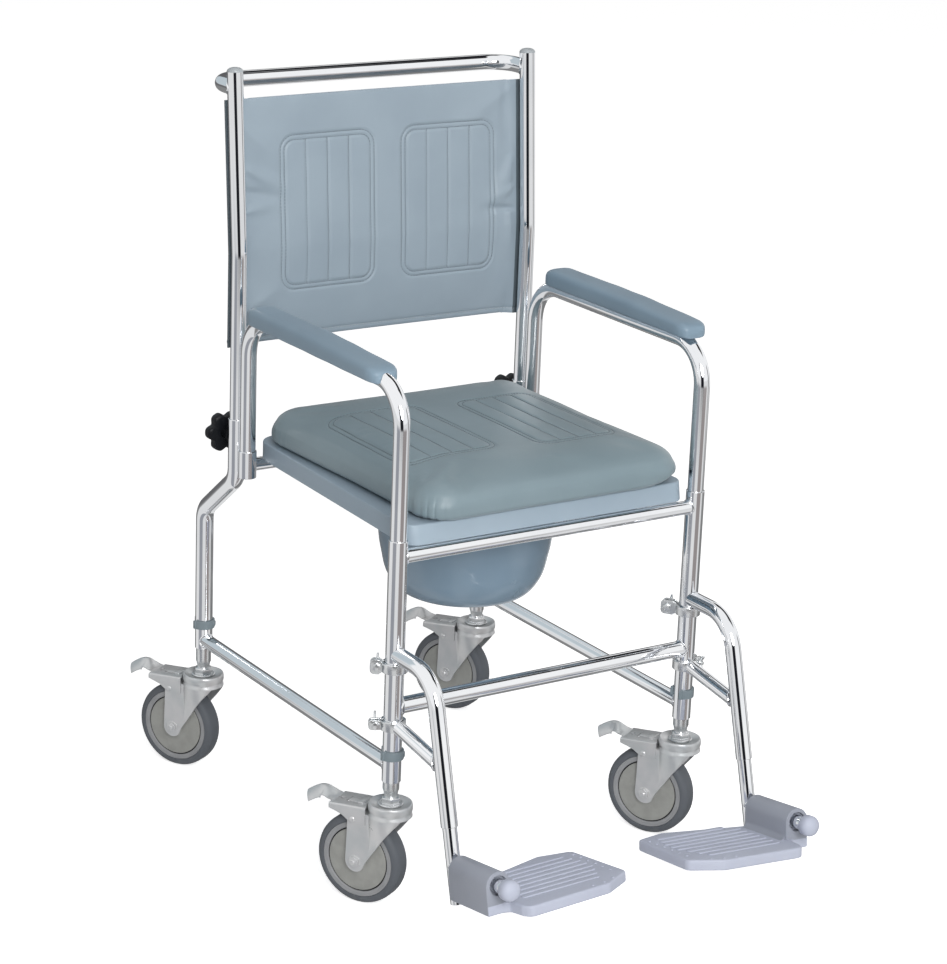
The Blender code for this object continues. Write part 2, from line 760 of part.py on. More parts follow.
def star_knob_mesh():
    """A lobed hand wheel turned about Y, with its neck against the leg and its stud in the leg's rear wall."""
    count = KNOB_LOBES * 6
    outline = []
    for index in range(count):
        angle = 2 * math.pi * index / count
        radius = KNOB_R + KNOB_LOBE * math.cos(KNOB_LOBES * angle)
        outline.append((radius * math.cos(angle), radius * math.sin(angle)))
    face = LEG_R + GAP
    wheel = shifted(extrusion(outline, KNOB_THICKNESS, "Y"), y=face + KNOB_NECK + KNOB_THICKNESS / 2)
    neck = rod((0, face, 0), (0, face + KNOB_NECK + KNOB_THICKNESS / 2, 0), KNOB_NECK_R, 12)
    stud = rod((0, PLUG_R + GAP, 0), (0, face + KNOB_NECK, 0), STUD_R)
    return combined("star_knob", wheel, [neck, stud])


def make_star_knobs(origin):
    knob = star_knob_mesh()
    for side, sign in SIDES.items():
        piece(f"star_knob_{side}", knob, "knob_plastic", origin, (sign * HALF_TRACK, POST_Y, KNOB_Z))


# Arms

def arm_path():
    corners = [
        (0, 0, FRONT_LEG_TOP - ARM_FRONT_INSIDE),
        (0, 0, ARM_Z),
        (0, ARM_REAR_Y, ARM_Z),
        (0, ARM_REAR_Y, SLEEVE_TOP - ARM_REAR_INSIDE),
    ]
    return rounded_path(corners, ARM_BEND_R, 5)


def pad_section(y):
    """One section of the pad: a flat base, upright sides and a crowned top that rounds off at both ends."""
    from_end = min(y - PAD_FRONT_Y, PAD_REAR_Y - y)
    end_round = PAD_HALF_WIDTH * 0.9
    share = min(1.0, from_end / end_round)
    bulge = math.sqrt(max(0.0, share * (2 - share)))
    half = PAD_HALF_WIDTH * (0.45 + 0.55 * bulge)
    height = PAD_HEIGHT * (0.72 + 0.28 * bulge)
    droop = PAD_DROOP * max(0.0, 1 - (y - PAD_FRONT_Y) / ARM_BEND_R) ** 2
    base = ARM_Z - droop
    shape = [(-1, 0), (1, 0), (1, 0.45), (0.93, 0.74), (0.62, 0.94), (0, 1), (-0.62, 0.94), (-0.93, 0.74), (-1, 0.45)]
    return [(half * across, y, base + height * up) for across, up in shape]


def make_arms(origin):
    length = PAD_REAR_Y - PAD_FRONT_Y
    stations = [PAD_FRONT_Y + length * share for share in (0, 0.008, 0.03, 0.07, 0.14, 0.35, 0.65, 0.93, 0.97, 0.992, 1)]
    for side, sign in SIDES.items():
        arm = empty(f"arm_{side}_slide", origin, (sign * HALF_TRACK, 0, FRONT_LEG_TOP))
        lower = (0, 0, -FRONT_LEG_TOP)
        bar = piece(f"arm_tube_{side}", tube(arm_path(), PLUG_R), "chrome_tube", arm, lower)
        cut(bar, tube(arm_path_extended(), PLUG_R - TUBE_WALL, BORE_SIDES))
        pad = piece(f"arm_pad_{side}", loft([pad_section(y) for y in stations]), "arm_vinyl", arm, lower)
        cut(pad, tube(arm_path(), PLUG_R + GAP))


def arm_path_extended():
    """The arm's centre line, run out past both ends so that its bore opens there."""
    path = arm_path()
    path[0] = path[0] - Vector((0, 0, OVER))
    path[-1] = path[-1] - Vector((0, 0, OVER))
    return path


# Seat, cushion and pan

def seat_outline():
    rear = SEAT_FRONT_Y + SEAT_DEPTH
    corners = [
        (-SEAT_FRONT_HALF, SEAT_FRONT_Y),
        (SEAT_FRONT_HALF, SEAT_FRONT_Y),
        (SEAT_REAR_HALF, rear),
        (-SEAT_REAR_HALF, rear),
    ]
    return rounded_outline(corners, SEAT_CORNER_R, 4)


def seat_opening():
    steps = 28
    angles = [2 * math.pi * step / steps for step in range(steps)]
    return [(OPENING_HALF_X * math.cos(a), OPENING_Y + OPENING_HALF_Y * math.sin(a)) for a in angles]


def make_commode_seat(origin):
    slide = empty("commode_seat_slide", origin, (0, OPENING_Y, SEAT_BOTTOM))
    slab = extrusion(seat_outline(), SEAT_THICKNESS, "Z", [seat_opening()], SEAT_ROUND)
    shifted(slab, y=-OPENING_Y, z=SEAT_THICKNESS / 2)
    piece("commode_seat", slab, "seat_plastic", slide)
    return slide


def cushion_mesh():
    """A crowned pad with rounded corners, sides drawn in between them, and two stitched panels."""
    middle_y = CUSHION_FRONT_Y + CUSHION_DEPTH / 2
    half_y = CUSHION_DEPTH / 2
    base = SEAT_TOP + GAP
    edge_z = base + CUSHION_EDGE
    across = sheet_stations(CUSHION_HALF_WIDTH, (PANEL_INNER, PANEL_OUTER - 0.020))
    panel = (-half_y + 0.075, half_y - 0.075)
    ends = [half_y - CUSHION_CORNER_R * (1 - math.sin(math.radians(degrees))) for degrees in (0, 30, 60, 90)]
    inner = [panel[0] + step * CHANNEL_HALF for step in (-1, 0, 1)] + [0] + [panel[1] + step * CHANNEL_HALF for step in (-1, 0, 1)]
    along = [-value for value in reversed(ends)] + inner + ends

    def half_width(v):
        over = max(0.0, abs(v) - (half_y - CUSHION_CORNER_R))
        straight = CUSHION_HALF_WIDTH - CUSHION_CORNER_R
        return straight + math.sqrt(max(0.0, CUSHION_CORNER_R**2 - over**2))

    def top(u, v):
        near = min((CUSHION_HALF_WIDTH - abs(u)) / 0.05, (half_y - abs(v)) / 0.05, 1.0)
        swell = math.sqrt(max(0.0, near * (2 - near)))
        press = panel_press(u, v, (PANEL_INNER, PANEL_OUTER - 0.020), panel)
        x = u * half_width(v) / CUSHION_HALF_WIDTH
        return Vector((x, middle_y + v, edge_z + CUSHION_CROWN * swell - press))

    mesh = bpy.data.meshes.new("cushion")
    shape = bmesh.new()
    grid = [[shape.verts.new(top(u, v)) for u in across] for v in along]
    for lower, upper in zip(grid, grid[1:]):
        for index in range(len(across) - 1):
            shape.faces.new((lower[index], lower[index + 1], upper[index + 1], upper[index]))
    rim = grid[0] + [row[-1] for row in grid[1:-1]] + grid[-1][::-1] + [row[0] for row in grid[-2:0:-1]]
    centre = Vector((0, middle_y, 0))

    def side_point(vert, height, inset):
        out = vert.co - centre
        flat = Vector((out.x, out.y, 0))
        share_x = abs(flat.x) / CUSHION_HALF_WIDTH
        share_y = abs(flat.y) / half_y
        between = 1 - min(share_x, share_y)
        draw = CUSHION_DRAW_IN * between * math.sin(math.pi * min(1.0, (height - base) / CUSHION_EDGE))
        return centre + flat * (1 - (inset + draw) / flat.length) + Vector((0, 0, height))

    levels = [(edge_z - 0.006, -0.004), (edge_z - 0.018, -0.006), (base + 0.008, -0.003), (base, 0.006)]
    last = rim
    for height, inset in levels:
        ring = [shape.verts.new(side_point(vert, height, inset)) for vert in rim]
        for index in range(len(ring)):
            after = (index + 1) % len(ring)
            shape.faces.new((last[index], last[after], ring[after], ring[index]))
        last = ring
    shape.faces.new(last)
    bmesh.ops.recalc_face_normals(shape, faces=shape.faces)
    shape.to_mesh(mesh)
    shape.free()
    return mesh


def make_cushion(slide):
    lift = empty("seat_cushion_slide", slide, (0, 0, SEAT_THICKNESS + GAP))
    piece("seat_cushion", cushion_mesh(), "seat_vinyl", lift, (0, -OPENING_Y, -SEAT_TOP - GAP))


def pan_profile():
    """Down the inside is last: the profile starts on the inner floor, goes over the rim and down the outer side."""
    rim_bottom = LEDGE_TOP + GAP
    bottom = rim_bottom + PAN_RIM_HEIGHT - PAN_DEPTH
    rim_top = rim_bottom + PAN_RIM_HEIGHT
    wall = [
        (PAN_BODY_R, rim_bottom - 0.015),
        (PAN_BODY_R - 0.003, rim_bottom - 0.050),
        (PAN_BODY_R - 0.0065, rim_bottom - 0.070),
        (PAN_BODY_R - 0.0145, rim_bottom - 0.100),
        (PAN_BODY_R - 0.0325, bottom + 0.009),
        (PAN_BODY_R - 0.0625, bottom + 0.001),
    ]
    inner = [(0, bottom + PAN_WALL)]
    inner += [(radius - PAN_WALL, height + PAN_WALL / 2) for radius, height in reversed(wall)]
    inner.append((PAN_BODY_R - PAN_WALL, rim_top))
    return inner + [(PAN_RIM_R, rim_top), (PAN_RIM_R, rim_bottom), (PAN_BODY_R, rim_bottom)] + wall + [(0, bottom)]


def make_pan(origin):
    piece("pan", turned(pan_profile(), 24), "pan_plastic", origin, (0, OPENING_Y, 0))


# Casters

def tyre_mesh():
    """Its tread is a ring of flats, one of which lies on the floor. The profile is (radius, place on the axle)."""
    tread = TYRE_R / math.cos(math.pi / TYRE_STEPS)
    half = TYRE_HALF_WIDTH
    bead = HUB_R + GAP
    right = [(tread, half * 0.5), (tread - 0.003, half * 0.84), (tread - 0.009, half)]
    left = [(radius, -place) for radius, place in right]
    profile = right[::-1] + left + [(bead, -half * 0.8), (bead, half * 0.8)]
    return along_x(turned(profile, TYRE_STEPS, True, math.pi / TYRE_STEPS))


def hub_mesh():
    """A plastic wheel centre with a shallow groove near its rim and a boss round the axle."""
    half = TYRE_HALF_WIDTH * 0.8
    boss = FORK_INNER - GAP
    bore = AXLE_R + GAP
    right = [(bore, boss), (AXLE_R * 2.2, boss), (AXLE_R * 2.4, half * 0.9), (HUB_R - 0.003, half * 0.9), (HUB_R, half * 0.72)]
    profile = right + [(radius, -place) for radius, place in reversed(right)]
    return along_x(turned(profile, TYRE_STEPS, True, math.pi / TYRE_STEPS))


def fork_outline():
    """One side plate as (trail, height): an eye round the axle, a straight rear edge and a swept front edge."""
    eye = arc_points(0.0148, 0, math.radians(-136), 6, (TRAIL, TYRE_R))
    top = CASTER_TOP - HEAD_HEIGHT
    front = [(TRAIL - 0.0285, TYRE_R + 0.0215), (TRAIL - 0.049, TYRE_R + 0.0505), (-0.0205, top + 0.002)]
    rear = [(TRAIL + 0.010, top + 0.0005), (TRAIL + 0.0135, top - 0.015), (TRAIL + 0.0135, TYRE_R + 0.0065)]
    return rear + eye + front


def fork_mesh():
    top = CASTER_TOP
    floor = top - HEAD_HEIGHT
    head = turned(
        [(0, top), (0.013, top), (0.026, top - 0.002), (HEAD_R, top - 0.006), (HEAD_R, floor + 0.003), (HEAD_R - 0.003, floor), (0, floor)],
        20,
    )
    outer = FORK_INNER + FORK_PLATE
    plates = [
        shifted(extrusion(fork_outline(), FORK_PLATE, "X"), x=sign * (FORK_INNER + FORK_PLATE / 2)) for sign in (-1, 1)
    ]
    crown = box((-outer + 0.0004, -0.019, floor - 0.0023), (outer - 0.0004, TRAIL + 0.0095, floor + 0.0004))
    axle = rod((-outer - OVER, TRAIL, TYRE_R), (outer + OVER, TRAIL, TYRE_R), AXLE_R)
    heads = [
        rod((sign * (outer - 0.0005), TRAIL, TYRE_R), (sign * (outer + 0.004), TRAIL, TYRE_R), 0.0078, 6)
        for sign in (-1, 1)
    ]
    rivet = (RIVET_T, floor - 0.010)
    hole = rod((-outer - OVER, *rivet), (outer + OVER, *rivet), RIVET_R + GAP)
    return combined("caster_fork", head, [crown, *plates, axle, *heads], [hole])


def strip_outline(points, thickness):
    """The closed outline of a bent strip whose upper side runs through these points."""
    lower = []
    for index, (a, b) in enumerate(points):
        before = Vector(points[max(0, index - 1)])
        after = Vector(points[min(len(points) - 1, index + 1)])
        along = (after - before).normalized()
        lower.append((a + along.y * thickness, b - along.x * thickness))
    return list(points) + lower[::-1]


def brake_pedal_mesh():
    """A pressed channel riveted outside the fork plates, with a window in its top and a toe tab that flares."""
    top = CASTER_TOP
    flange_in = FORK_INNER + FORK_PLATE + GAP
    flange_out = flange_in + PEDAL_PLATE
    flange = [
        (0.0225, top - 0.0075),
        (0.081, top - 0.0120),
        (0.081, top - 0.0165),
        (0.052, top - 0.0300),
        (0.040, top - 0.0340),
        (0.031, top - 0.0310),
    ]
    flanges = [
        shifted(extrusion(flange, PEDAL_PLATE, "X"), x=sign * (flange_in + PEDAL_PLATE / 2)) for sign in (-1, 1)
    ]
    roof = extrusion(
        strip_outline([(HEAD_R + 0.0015, top - 0.0073), (0.081, top - 0.0115)], PEDAL_PLATE), 2 * flange_out - 0.0004, "X"
    )
    tab_path = [
        (0.063, top - 0.0112),
        (0.071, top - 0.0005),
        (0.081, top + 0.0070),
        (0.092, top + 0.0095),
        (0.106, top + 0.0055),
        (0.120, top - 0.0040),
        (0.133, top - 0.0160),
    ]
    tab = extrusion(strip_outline(tab_path, PEDAL_PLATE), PEDAL_TAB_WIDTH, "X")
    for vert in tab.vertices:
        vert.co.x *= 0.70 + 0.30 * min(1.0, max(0.0, (vert.co.y - 0.070) / 0.045))
    rivet = (RIVET_T, top - HEAD_HEIGHT - 0.010)
    pins = []
    for sign in (-1, 1):
        pins.append(rod((sign * FORK_INNER, *rivet), (sign * (flange_in + PEDAL_PLATE / 2), *rivet), RIVET_R))
        pins.append(rod((sign * (flange_out - 0.0005), *rivet), (sign * (flange_out + 0.0014), *rivet), RIVET_R * 1.6))
    window = box((-0.009, TRAIL, top - 0.020), (0.009, TRAIL + 0.018, top))
    return combined("brake_pedal", roof, [*flanges, tab, *pins], [window])


def stem_mesh(shown):
    """A tube that telescopes in the leg, with its nut and washer on the caster's head."""
    base = CASTER_TOP + GAP
    top = CASTER_TOP + shown + STEM_INSIDE
    profile = [
        (0, base + 0.018),
        (STEM_R - TUBE_WALL, base + 0.018),
        (STEM_R - TUBE_WALL, top),
        (STEM_R, top),
        (STEM_R, base + 0.0075),
        (0.0128, base + 0.0070),
        (0.0128, base + 0.0028),
        (0.0150, base + 0.0025),
        (0.0150, base),
        (0, base),
    ]
    return turned(profile, TUBE_SIDES)


def make_casters(origin):
    tyre, hub, fork, pedal = tyre_mesh(), hub_mesh(), fork_mesh(), brake_pedal_mesh()
    rivet_z = CASTER_TOP - HEAD_HEIGHT - 0.010
    for corner, (x, y, leg_bottom, _) in CORNERS.items():
        slide = empty(f"{corner}_stem_slide", origin, (x, y, leg_bottom))
        piece(f"{corner}_caster_stem", stem_mesh(leg_bottom - CASTER_TOP), "zinc_steel", slide, (0, 0, -leg_bottom))
        swivel = empty(f"{corner}_swivel", slide, (0, 0, CASTER_TOP - leg_bottom), (0, 0, TRAIL_TURN))
        piece(f"{corner}_caster_fork", fork, "zinc_steel", swivel, (0, 0, -CASTER_TOP))
        axle = (0, TRAIL, TYRE_R - CASTER_TOP)
        piece(f"{corner}_caster_tyre", tyre, "tyre_rubber", swivel, axle)
        piece(f"{corner}_caster_hub", hub, "hub_plastic", swivel, axle)
        hinge = empty(f"{corner}_pedal_hinge", swivel, (0, RIVET_T, rivet_z - CASTER_TOP))
        piece(f"{corner}_brake_pedal", pedal, "zinc_steel", hinge, (0, -RIVET_T, -rivet_z))


# Footrests

FOOT_AXIS = Vector((0, FOOT_LEAN, 1)).normalized()
BAR_AXIS = Vector((0, -math.cos(BAR_PITCH), math.sin(BAR_PITCH)))


def clamp_mesh(sign):
    """A split ring round the leg: two ears behind it, a bolt with a hex head inboard and a wing nut outboard."""
    half = CLAMP_HEIGHT / 2
    ring = rod((0, 0, -half), (0, 0, half), CLAMP_R, 20)
    ear_half = EAR_SLOT / 2 + EAR_PLATE
    nose = EAR_HALF_HEIGHT
    lug = [(0.010, -half + 0.0004), (EAR_REACH - nose, -nose)]
    lug += arc_points(nose, math.radians(-60), math.radians(60), 4, (EAR_REACH - nose, 0))
    lug += [(EAR_REACH - nose, nose), (0.010, half - 0.0004)]
    ears = extrusion(lug, 2 * ear_half, "X")
    body = combined(
        "clamp_body",
        ring,
        [ears],
        [
            rod((0, 0, -half - OVER), (0, 0, half + OVER), CLAMP_BORE, 20),
            box((-EAR_SLOT / 2, CLAMP_BORE / 2, -nose - OVER), (EAR_SLOT / 2, EAR_REACH + OVER, nose + OVER)),
        ],
    )
    bolt_y = CLAMP_BOLT_Y
    shank = rod((-ear_half - 0.003, bolt_y, 0), (ear_half + 0.002, bolt_y, 0), CLAMP_BOLT_R)
    head = rod((-ear_half - 0.0042, bolt_y, 0), (-ear_half + 0.0005, bolt_y, 0), CLAMP_BOLT_R * 1.8, 6)
    nut = rod((ear_half - 0.0005, bolt_y, 0), (ear_half + 0.007, bolt_y, 0), CLAMP_BOLT_R * 1.7)
    wing = [(ear_half + 0.002, -0.002), (ear_half + 0.011, -0.0115), (ear_half + 0.0125, -0.0095), (ear_half + 0.0062, 0)]
    wing += [(ear_half + 0.0125, 0.0095), (ear_half + 0.011, 0.0115), (ear_half + 0.002, 0.002)]
    wings = shifted(extrusion(wing, 0.0022, "Y"), y=bolt_y)
    mesh = combined("footrest_clamp", body, [shank, head, nut, wings])
    return moved(mesh, Matrix.Diagonal((sign, 1, 1, 1)))


def hanger_path():
    """From beside the leg, level, then bent down the leaning line to the mouth."""
    rise = HANGER_TOP_Z - HANGER_MOUTH.z
    corner = (0, HANGER_MOUTH.y + FOOT_LEAN * rise, HANGER_TOP_Z)
    return rounded_path([(0, HANGER_END_Y, HANGER_TOP_Z), corner, HANGER_MOUTH], HANGER_BEND_R, 6)


def strut_end():
    rise = STRUT_Z - HANGER_MOUTH.z
    y = HANGER_MOUTH.y + FOOT_LEAN * rise
    return Vector((0, y, STRUT_Z + STRUT_SLOPE * y))


def make_footrest(side, origin):
    sign = SIDES[side]
    swing = empty(f"footrest_{side}_swing", origin, (sign * HALF_TRACK, 0, 0))
    hanger = piece(f"hanger_{side}", tube(hanger_path(), HANGER_R), "chrome_tube", swing)
    strut_start = Vector((0, -CLAMP_R / 2, STRUT_Z - STRUT_SLOPE * CLAMP_R / 2))
    join(hanger, tube([strut_start, strut_end()], FOOT_R))
    lower_z = STRUT_Z - 0.005
    upper_z = HANGER_TOP_Z - HANGER_R - GAP - CLAMP_HEIGHT / 2
    cut(
        hanger,
        tube([HANGER_MOUTH - FOOT_AXIS * OVER, HANGER_MOUTH + FOOT_AXIS * HANGER_BORE_DEPTH], FOOT_BORE),
        rod((0, 0, lower_z - CLAMP_HEIGHT), (0, 0, lower_z + CLAMP_HEIGHT), CLAMP_R + GAP, 20),
    )
    clamp = clamp_mesh(sign)
    piece(f"clamp_upper_{side}", clamp, "zinc_steel", swing, (0, 0, upper_z))
    piece(f"clamp_lower_{side}", clamp, "zinc_steel", swing, (0, 0, lower_z))
    bar_place = HANGER_MOUTH - FOOT_AXIS * BAR_BELOW_MOUTH[side]
    slide = empty(f"foot_tube_{side}_slide", swing, bar_place)
    make_foot_tube(side, slide)
    flip = empty(f"footplate_{side}_flip", slide, (0, 0, 0), (-BAR_PITCH, 0, 0))
    make_footplate(side, flip)


def make_foot_tube(side, slide):
    lower = -FOOT_AXIS * FOOT_TUBE_BELOW_BAR
    upper = FOOT_AXIS * FOOT_TUBE_ABOVE_BAR
    foot = piece(f"foot_tube_{side}", tube([lower, upper], FOOT_R), "chrome_tube", slide)
    bar_end = BAR_AXIS * (END_CAP_MIDDLE + END_CAP_LENGTH / 2 - END_CAP_FLOOR - GAP)
    join(foot, tube([Vector((0, 0, 0)), bar_end], FOOT_R))
    bore_floor = FOOT_AXIS * (FOOT_R * 2)
    cut(foot, rod(bore_floor, upper + FOOT_AXIS * OVER, FOOT_R - TUBE_WALL))
    low = END_CAP_MIDDLE - END_CAP_LENGTH / 2
    high = END_CAP_MIDDLE + END_CAP_LENGTH / 2
    profile = [(0, high - END_CAP_FLOOR), (FOOT_BORE, high - END_CAP_FLOOR), (FOOT_BORE, low), (END_CAP_R - 0.002, low)]
    profile += [(END_CAP_R, low + 0.002), (END_CAP_R, high - 0.008)]
    profile += [(END_CAP_R * 0.9, high - 0.0035), (END_CAP_R * 0.6, high - 0.0008), (0, high)]
    cap = moved(turned(profile[::-1], 20), Matrix.Rotation(math.pi / 2, 4, "X"))
    piece(f"end_cap_{side}", cap, "foot_plastic", slide, rotation=(-BAR_PITCH, 0, 0))


def plate_outline():
    """The footplate from above as (inboard of the bar, forward along it), with cut corners inboard."""
    corners = [
        (-HOUSING_R + 0.0005, HOUSING_REAR),
        (HOUSING_R, HOUSING_REAR),
        (0.1355, -0.0166),
        (0.1827, -0.0036),
        (0.1876, 0.1118),
        (0.1439, 0.1376),
        (0.030, 0.1415),
        (HOUSING_R, 0.1260),
        (HOUSING_R - 0.004, HOUSING_FRONT + 0.004),
        (0.004, HOUSING_FRONT),
        (-HOUSING_R + 0.0005, HOUSING_FRONT),
    ]
    radii = [0, 0.008, 0.015, 0.010, 0.010, 0.015, 0.010, 0.006, 0.004, 0, 0]
    return rounded_outline(corners, radii, 2)


def make_footplate(side, flip):
    """A ribbed tread moulded in one with the housing that turns on the bar."""
    inboard = -SIDES[side]
    outline = [(inboard * across, -ahead) for across, ahead in plate_outline()]
    plate = extrusion(outline, PLATE_THICKNESS, "Z", rounding=0.002)
    shifted(plate, z=-PLATE_DROP - PLATE_THICKNESS / 2)
    bottom = -PLATE_DROP - PLATE_THICKNESS + 0.0006
    section = [(HOUSING_R, bottom)] + arc_points(HOUSING_R, 0, math.pi, 10) + [(-HOUSING_R, bottom)]
    housing = extrusion(section, HOUSING_FRONT - HOUSING_REAR - 0.001, "Y")
    shifted(housing, y=-(HOUSING_FRONT + HOUSING_REAR) / 2)
    tread = piece(f"footplate_{side}", plate, "foot_plastic", flip)
    join(tread, housing)
    cut(
        tread,
        tube([(0, -HOUSING_REAR + OVER, 0), (0, -HOUSING_FRONT - OVER, 0)], FOOT_BORE),
        rod((0, -HOUSING_FRONT + COUNTERBORE_DEPTH, 0), (0, -HOUSING_FRONT - OVER, 0), COUNTERBORE_R, 16),
    )
    pitch = (HOUSING_FRONT + 0.012) / GROOVES
    for index in range(GROOVES):
        ahead = HOUSING_REAR + pitch * index
        reach = 0.168 - 0.004 * index
        cut(tread, box(
            (min(inboard * 0.034, inboard * reach), -ahead - GROOVE_WIDTH / 2, -PLATE_DROP - GROOVE_DEPTH),
            (max(inboard * 0.034, inboard * reach), -ahead + GROOVE_WIDTH / 2, -PLATE_DROP + OVER),
        ))


def make_chair():
    """The origin empty stands on the floor under the middle of the whole chair's box."""
    pedal_tip = 0.133
    half_tab = PEDAL_TAB_WIDTH / 2
    left_edge = -HALF_TRACK - pedal_tip * math.sin(TRAIL_TURN) - half_tab * math.cos(TRAIL_TURN)
    right_edge = HALF_TRACK + HEAD_R
    rear_edge = REAR_LEG_Y + pedal_tip * math.cos(TRAIL_TURN) + half_tab * math.sin(TRAIL_TURN)
    bar_place = HANGER_MOUTH - FOOT_AXIS * BAR_BELOW_MOUTH["right"]
    front_edge = bar_place.y - (END_CAP_MIDDLE + END_CAP_LENGTH / 2) * math.cos(BAR_PITCH)
    origin = empty("chair_origin", location=(-(left_edge + right_edge) / 2, -(front_edge + rear_edge) / 2, 0))
    make_frame(origin)
    make_back(origin)
    make_star_knobs(origin)
    make_arms(origin)
    slide = make_commode_seat(origin)
    make_cushion(slide)
    make_pan(origin)
    make_casters(origin)
    for side in SIDES:
        make_footrest(side, origin)


make_chair()
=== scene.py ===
# Dresses the wheeled commode chair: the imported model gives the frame, and every piece is built round it.
# Lengths are metres. Places are counted from chairOrigin, on the floor midway between the front legs.

import math

import bmesh
import bpy
from mathutils import Matrix, Vector, noise
from mathutils.bvhtree import BVHTree


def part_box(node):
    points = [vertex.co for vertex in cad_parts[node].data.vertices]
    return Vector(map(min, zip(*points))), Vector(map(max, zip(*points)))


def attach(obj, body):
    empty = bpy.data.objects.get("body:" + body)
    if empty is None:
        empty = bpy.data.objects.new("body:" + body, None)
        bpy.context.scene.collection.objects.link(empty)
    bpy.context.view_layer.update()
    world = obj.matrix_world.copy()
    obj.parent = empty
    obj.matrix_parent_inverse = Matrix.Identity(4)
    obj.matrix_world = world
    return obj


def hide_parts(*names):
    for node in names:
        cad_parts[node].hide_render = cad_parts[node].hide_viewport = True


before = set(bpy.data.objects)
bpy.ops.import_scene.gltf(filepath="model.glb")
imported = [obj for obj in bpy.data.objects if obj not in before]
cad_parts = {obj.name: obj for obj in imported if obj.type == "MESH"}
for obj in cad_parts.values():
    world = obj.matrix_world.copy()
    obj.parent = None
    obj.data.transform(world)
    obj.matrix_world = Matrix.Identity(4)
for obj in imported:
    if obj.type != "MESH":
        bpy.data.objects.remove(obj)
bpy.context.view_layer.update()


def middle(node):
    low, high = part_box(node)
    return (Vector(low) + Vector(high)) / 2


legLeft = middle("front_leg_left")
legRight = middle("front_leg_right")
chairOrigin = Vector(((legLeft.x + legRight.x) / 2, legLeft.y, 0))
halfTrack = (legRight.x - legLeft.x) / 2
sides = {"left": -1, "right": 1}
print("frame loaded, track", round(2 * halfTrack, 4))

# Camera, at the photograph's viewing angle
camera = {
    "place": (-2.0822, -2.9571, 1.6892),
    "azimuth": -33.4965,
    "elevation": 17.4761,
    "roll": 2.2241,
    "lens": 108.2,
    "sensor": 36.0,
}


def makeCamera():
    azimuth, elevation, roll = (math.radians(camera[key]) for key in ("azimuth", "elevation", "roll"))
    back = Vector((
        math.sin(azimuth) * math.cos(elevation),
        -math.cos(azimuth) * math.cos(elevation),
        math.sin(elevation),
    ))
    level = Vector((math.cos(azimuth), math.sin(azimuth), 0))
    upright = back.cross(level)
    right = level * math.cos(roll) + upright * math.sin(roll)
    up = upright * math.cos(roll) - level * math.sin(roll)
    made = bpy.data.objects.new("photoCamera", bpy.data.cameras.new("photoCamera"))
    placed = Matrix((right, up, back)).transposed().to_4x4()
    placed.translation = Vector(camera["place"]) + chairOrigin
    made.matrix_world = placed
    made.data.lens = camera["lens"]
    made.data.sensor_width = camera["sensor"]
    bpy.context.scene.collection.objects.link(made)
    bpy.context.scene.camera = made


makeCamera()
bpy.context.scene.view_settings.view_transform = "Standard"

# Light: a white studio. The cards are what plated metal shows of the room: azimuth of the middle and its
# half width, the elevations between which it stands, and its tone; azimuth 0 is in front of the chair, and
# + is toward +X
studio = {
    "above": 1.0,
    "below": 0.80,
    "ambient": 0.35,
    "soft": 4.0,
    "floorColor": (0.92, 0.92, 0.92),
    "floorGlow": 0.66,
    "floorHalf": 9.0,
    "floorGap": 0.0004,
    "aimHeight": 0.5,  # what the lamps point at, above the origin
}
cards = {
    "floorBehindLeft": (177.5, 32.5, -90, -5, (0.25, 0.25, 0.25)),
    "floorLeft": (-76.5, 21.5, -90, -10, (0.33, 0.34, 0.37)),
    "floorFront": (10, 24, -90, -10, (0.32, 0.29, 0.285)),
    "floorRight": (92.5, 32.5, -90, -15, (0.22, 0.22, 0.22)),
    "cameraSide": (-31, 19, -13, 32, (0.012, 0.013, 0.017)),
    "behindLeft": (180, 35, -13, 0, (0.15, 0.15, 0.155)),
    "behindSky": (185, 35, 0, 40, (0.55, 0.62, 0.66)),
    "ceiling": (105, 45, 38, 62, (0.015, 0.015, 0.018)),
    "behindRight": (150, 15, 0, 25, (0.12, 0.12, 0.125)),
    "rightSide": (62, 6, -14, 20, (0.22, 0.22, 0.225)),
}
lamps = {
    "keyLamp": {"place": (-1.3, -3.55, 2.25), "size": 2.0, "power": 118, "mirrored": True},
    "topLamp": {"place": (0.6, -0.9, 3.6), "size": 2.6, "power": 24, "mirrored": False},
}


def node(tree, kind, inputs=None, **settings):
    made = tree.nodes.new(kind)
    for key, value in settings.items():
        setattr(made, key, value)
    for key, value in (inputs or {}).items():
        if isinstance(value, bpy.types.NodeSocket):
            tree.links.new(value, made.inputs[key])
        else:
            made.inputs[key].default_value = value
    return made


def maths(tree, operation, first, second=0.0, third=0.0, clamp=False):
    made = node(tree, "ShaderNodeMath", {0: first, 1: second, 2: third}, operation=operation, use_clamp=clamp)
    return made.outputs[0]


def ramp(tree, value, low, high, toLow=0.0, toHigh=1.0):
    made = node(
        tree, "ShaderNodeMapRange",
        {"Value": value, "From Min": low, "From Max": high, "To Min": toLow, "To Max": toHigh},
        interpolation_type="SMOOTHSTEP",
    )
    return made.outputs["Result"]


def blended(tree, share, first, second):
    made = node(tree, "ShaderNodeMix", {"Factor": share, 6: first, 7: second}, data_type="RGBA")
    return made.outputs[2]


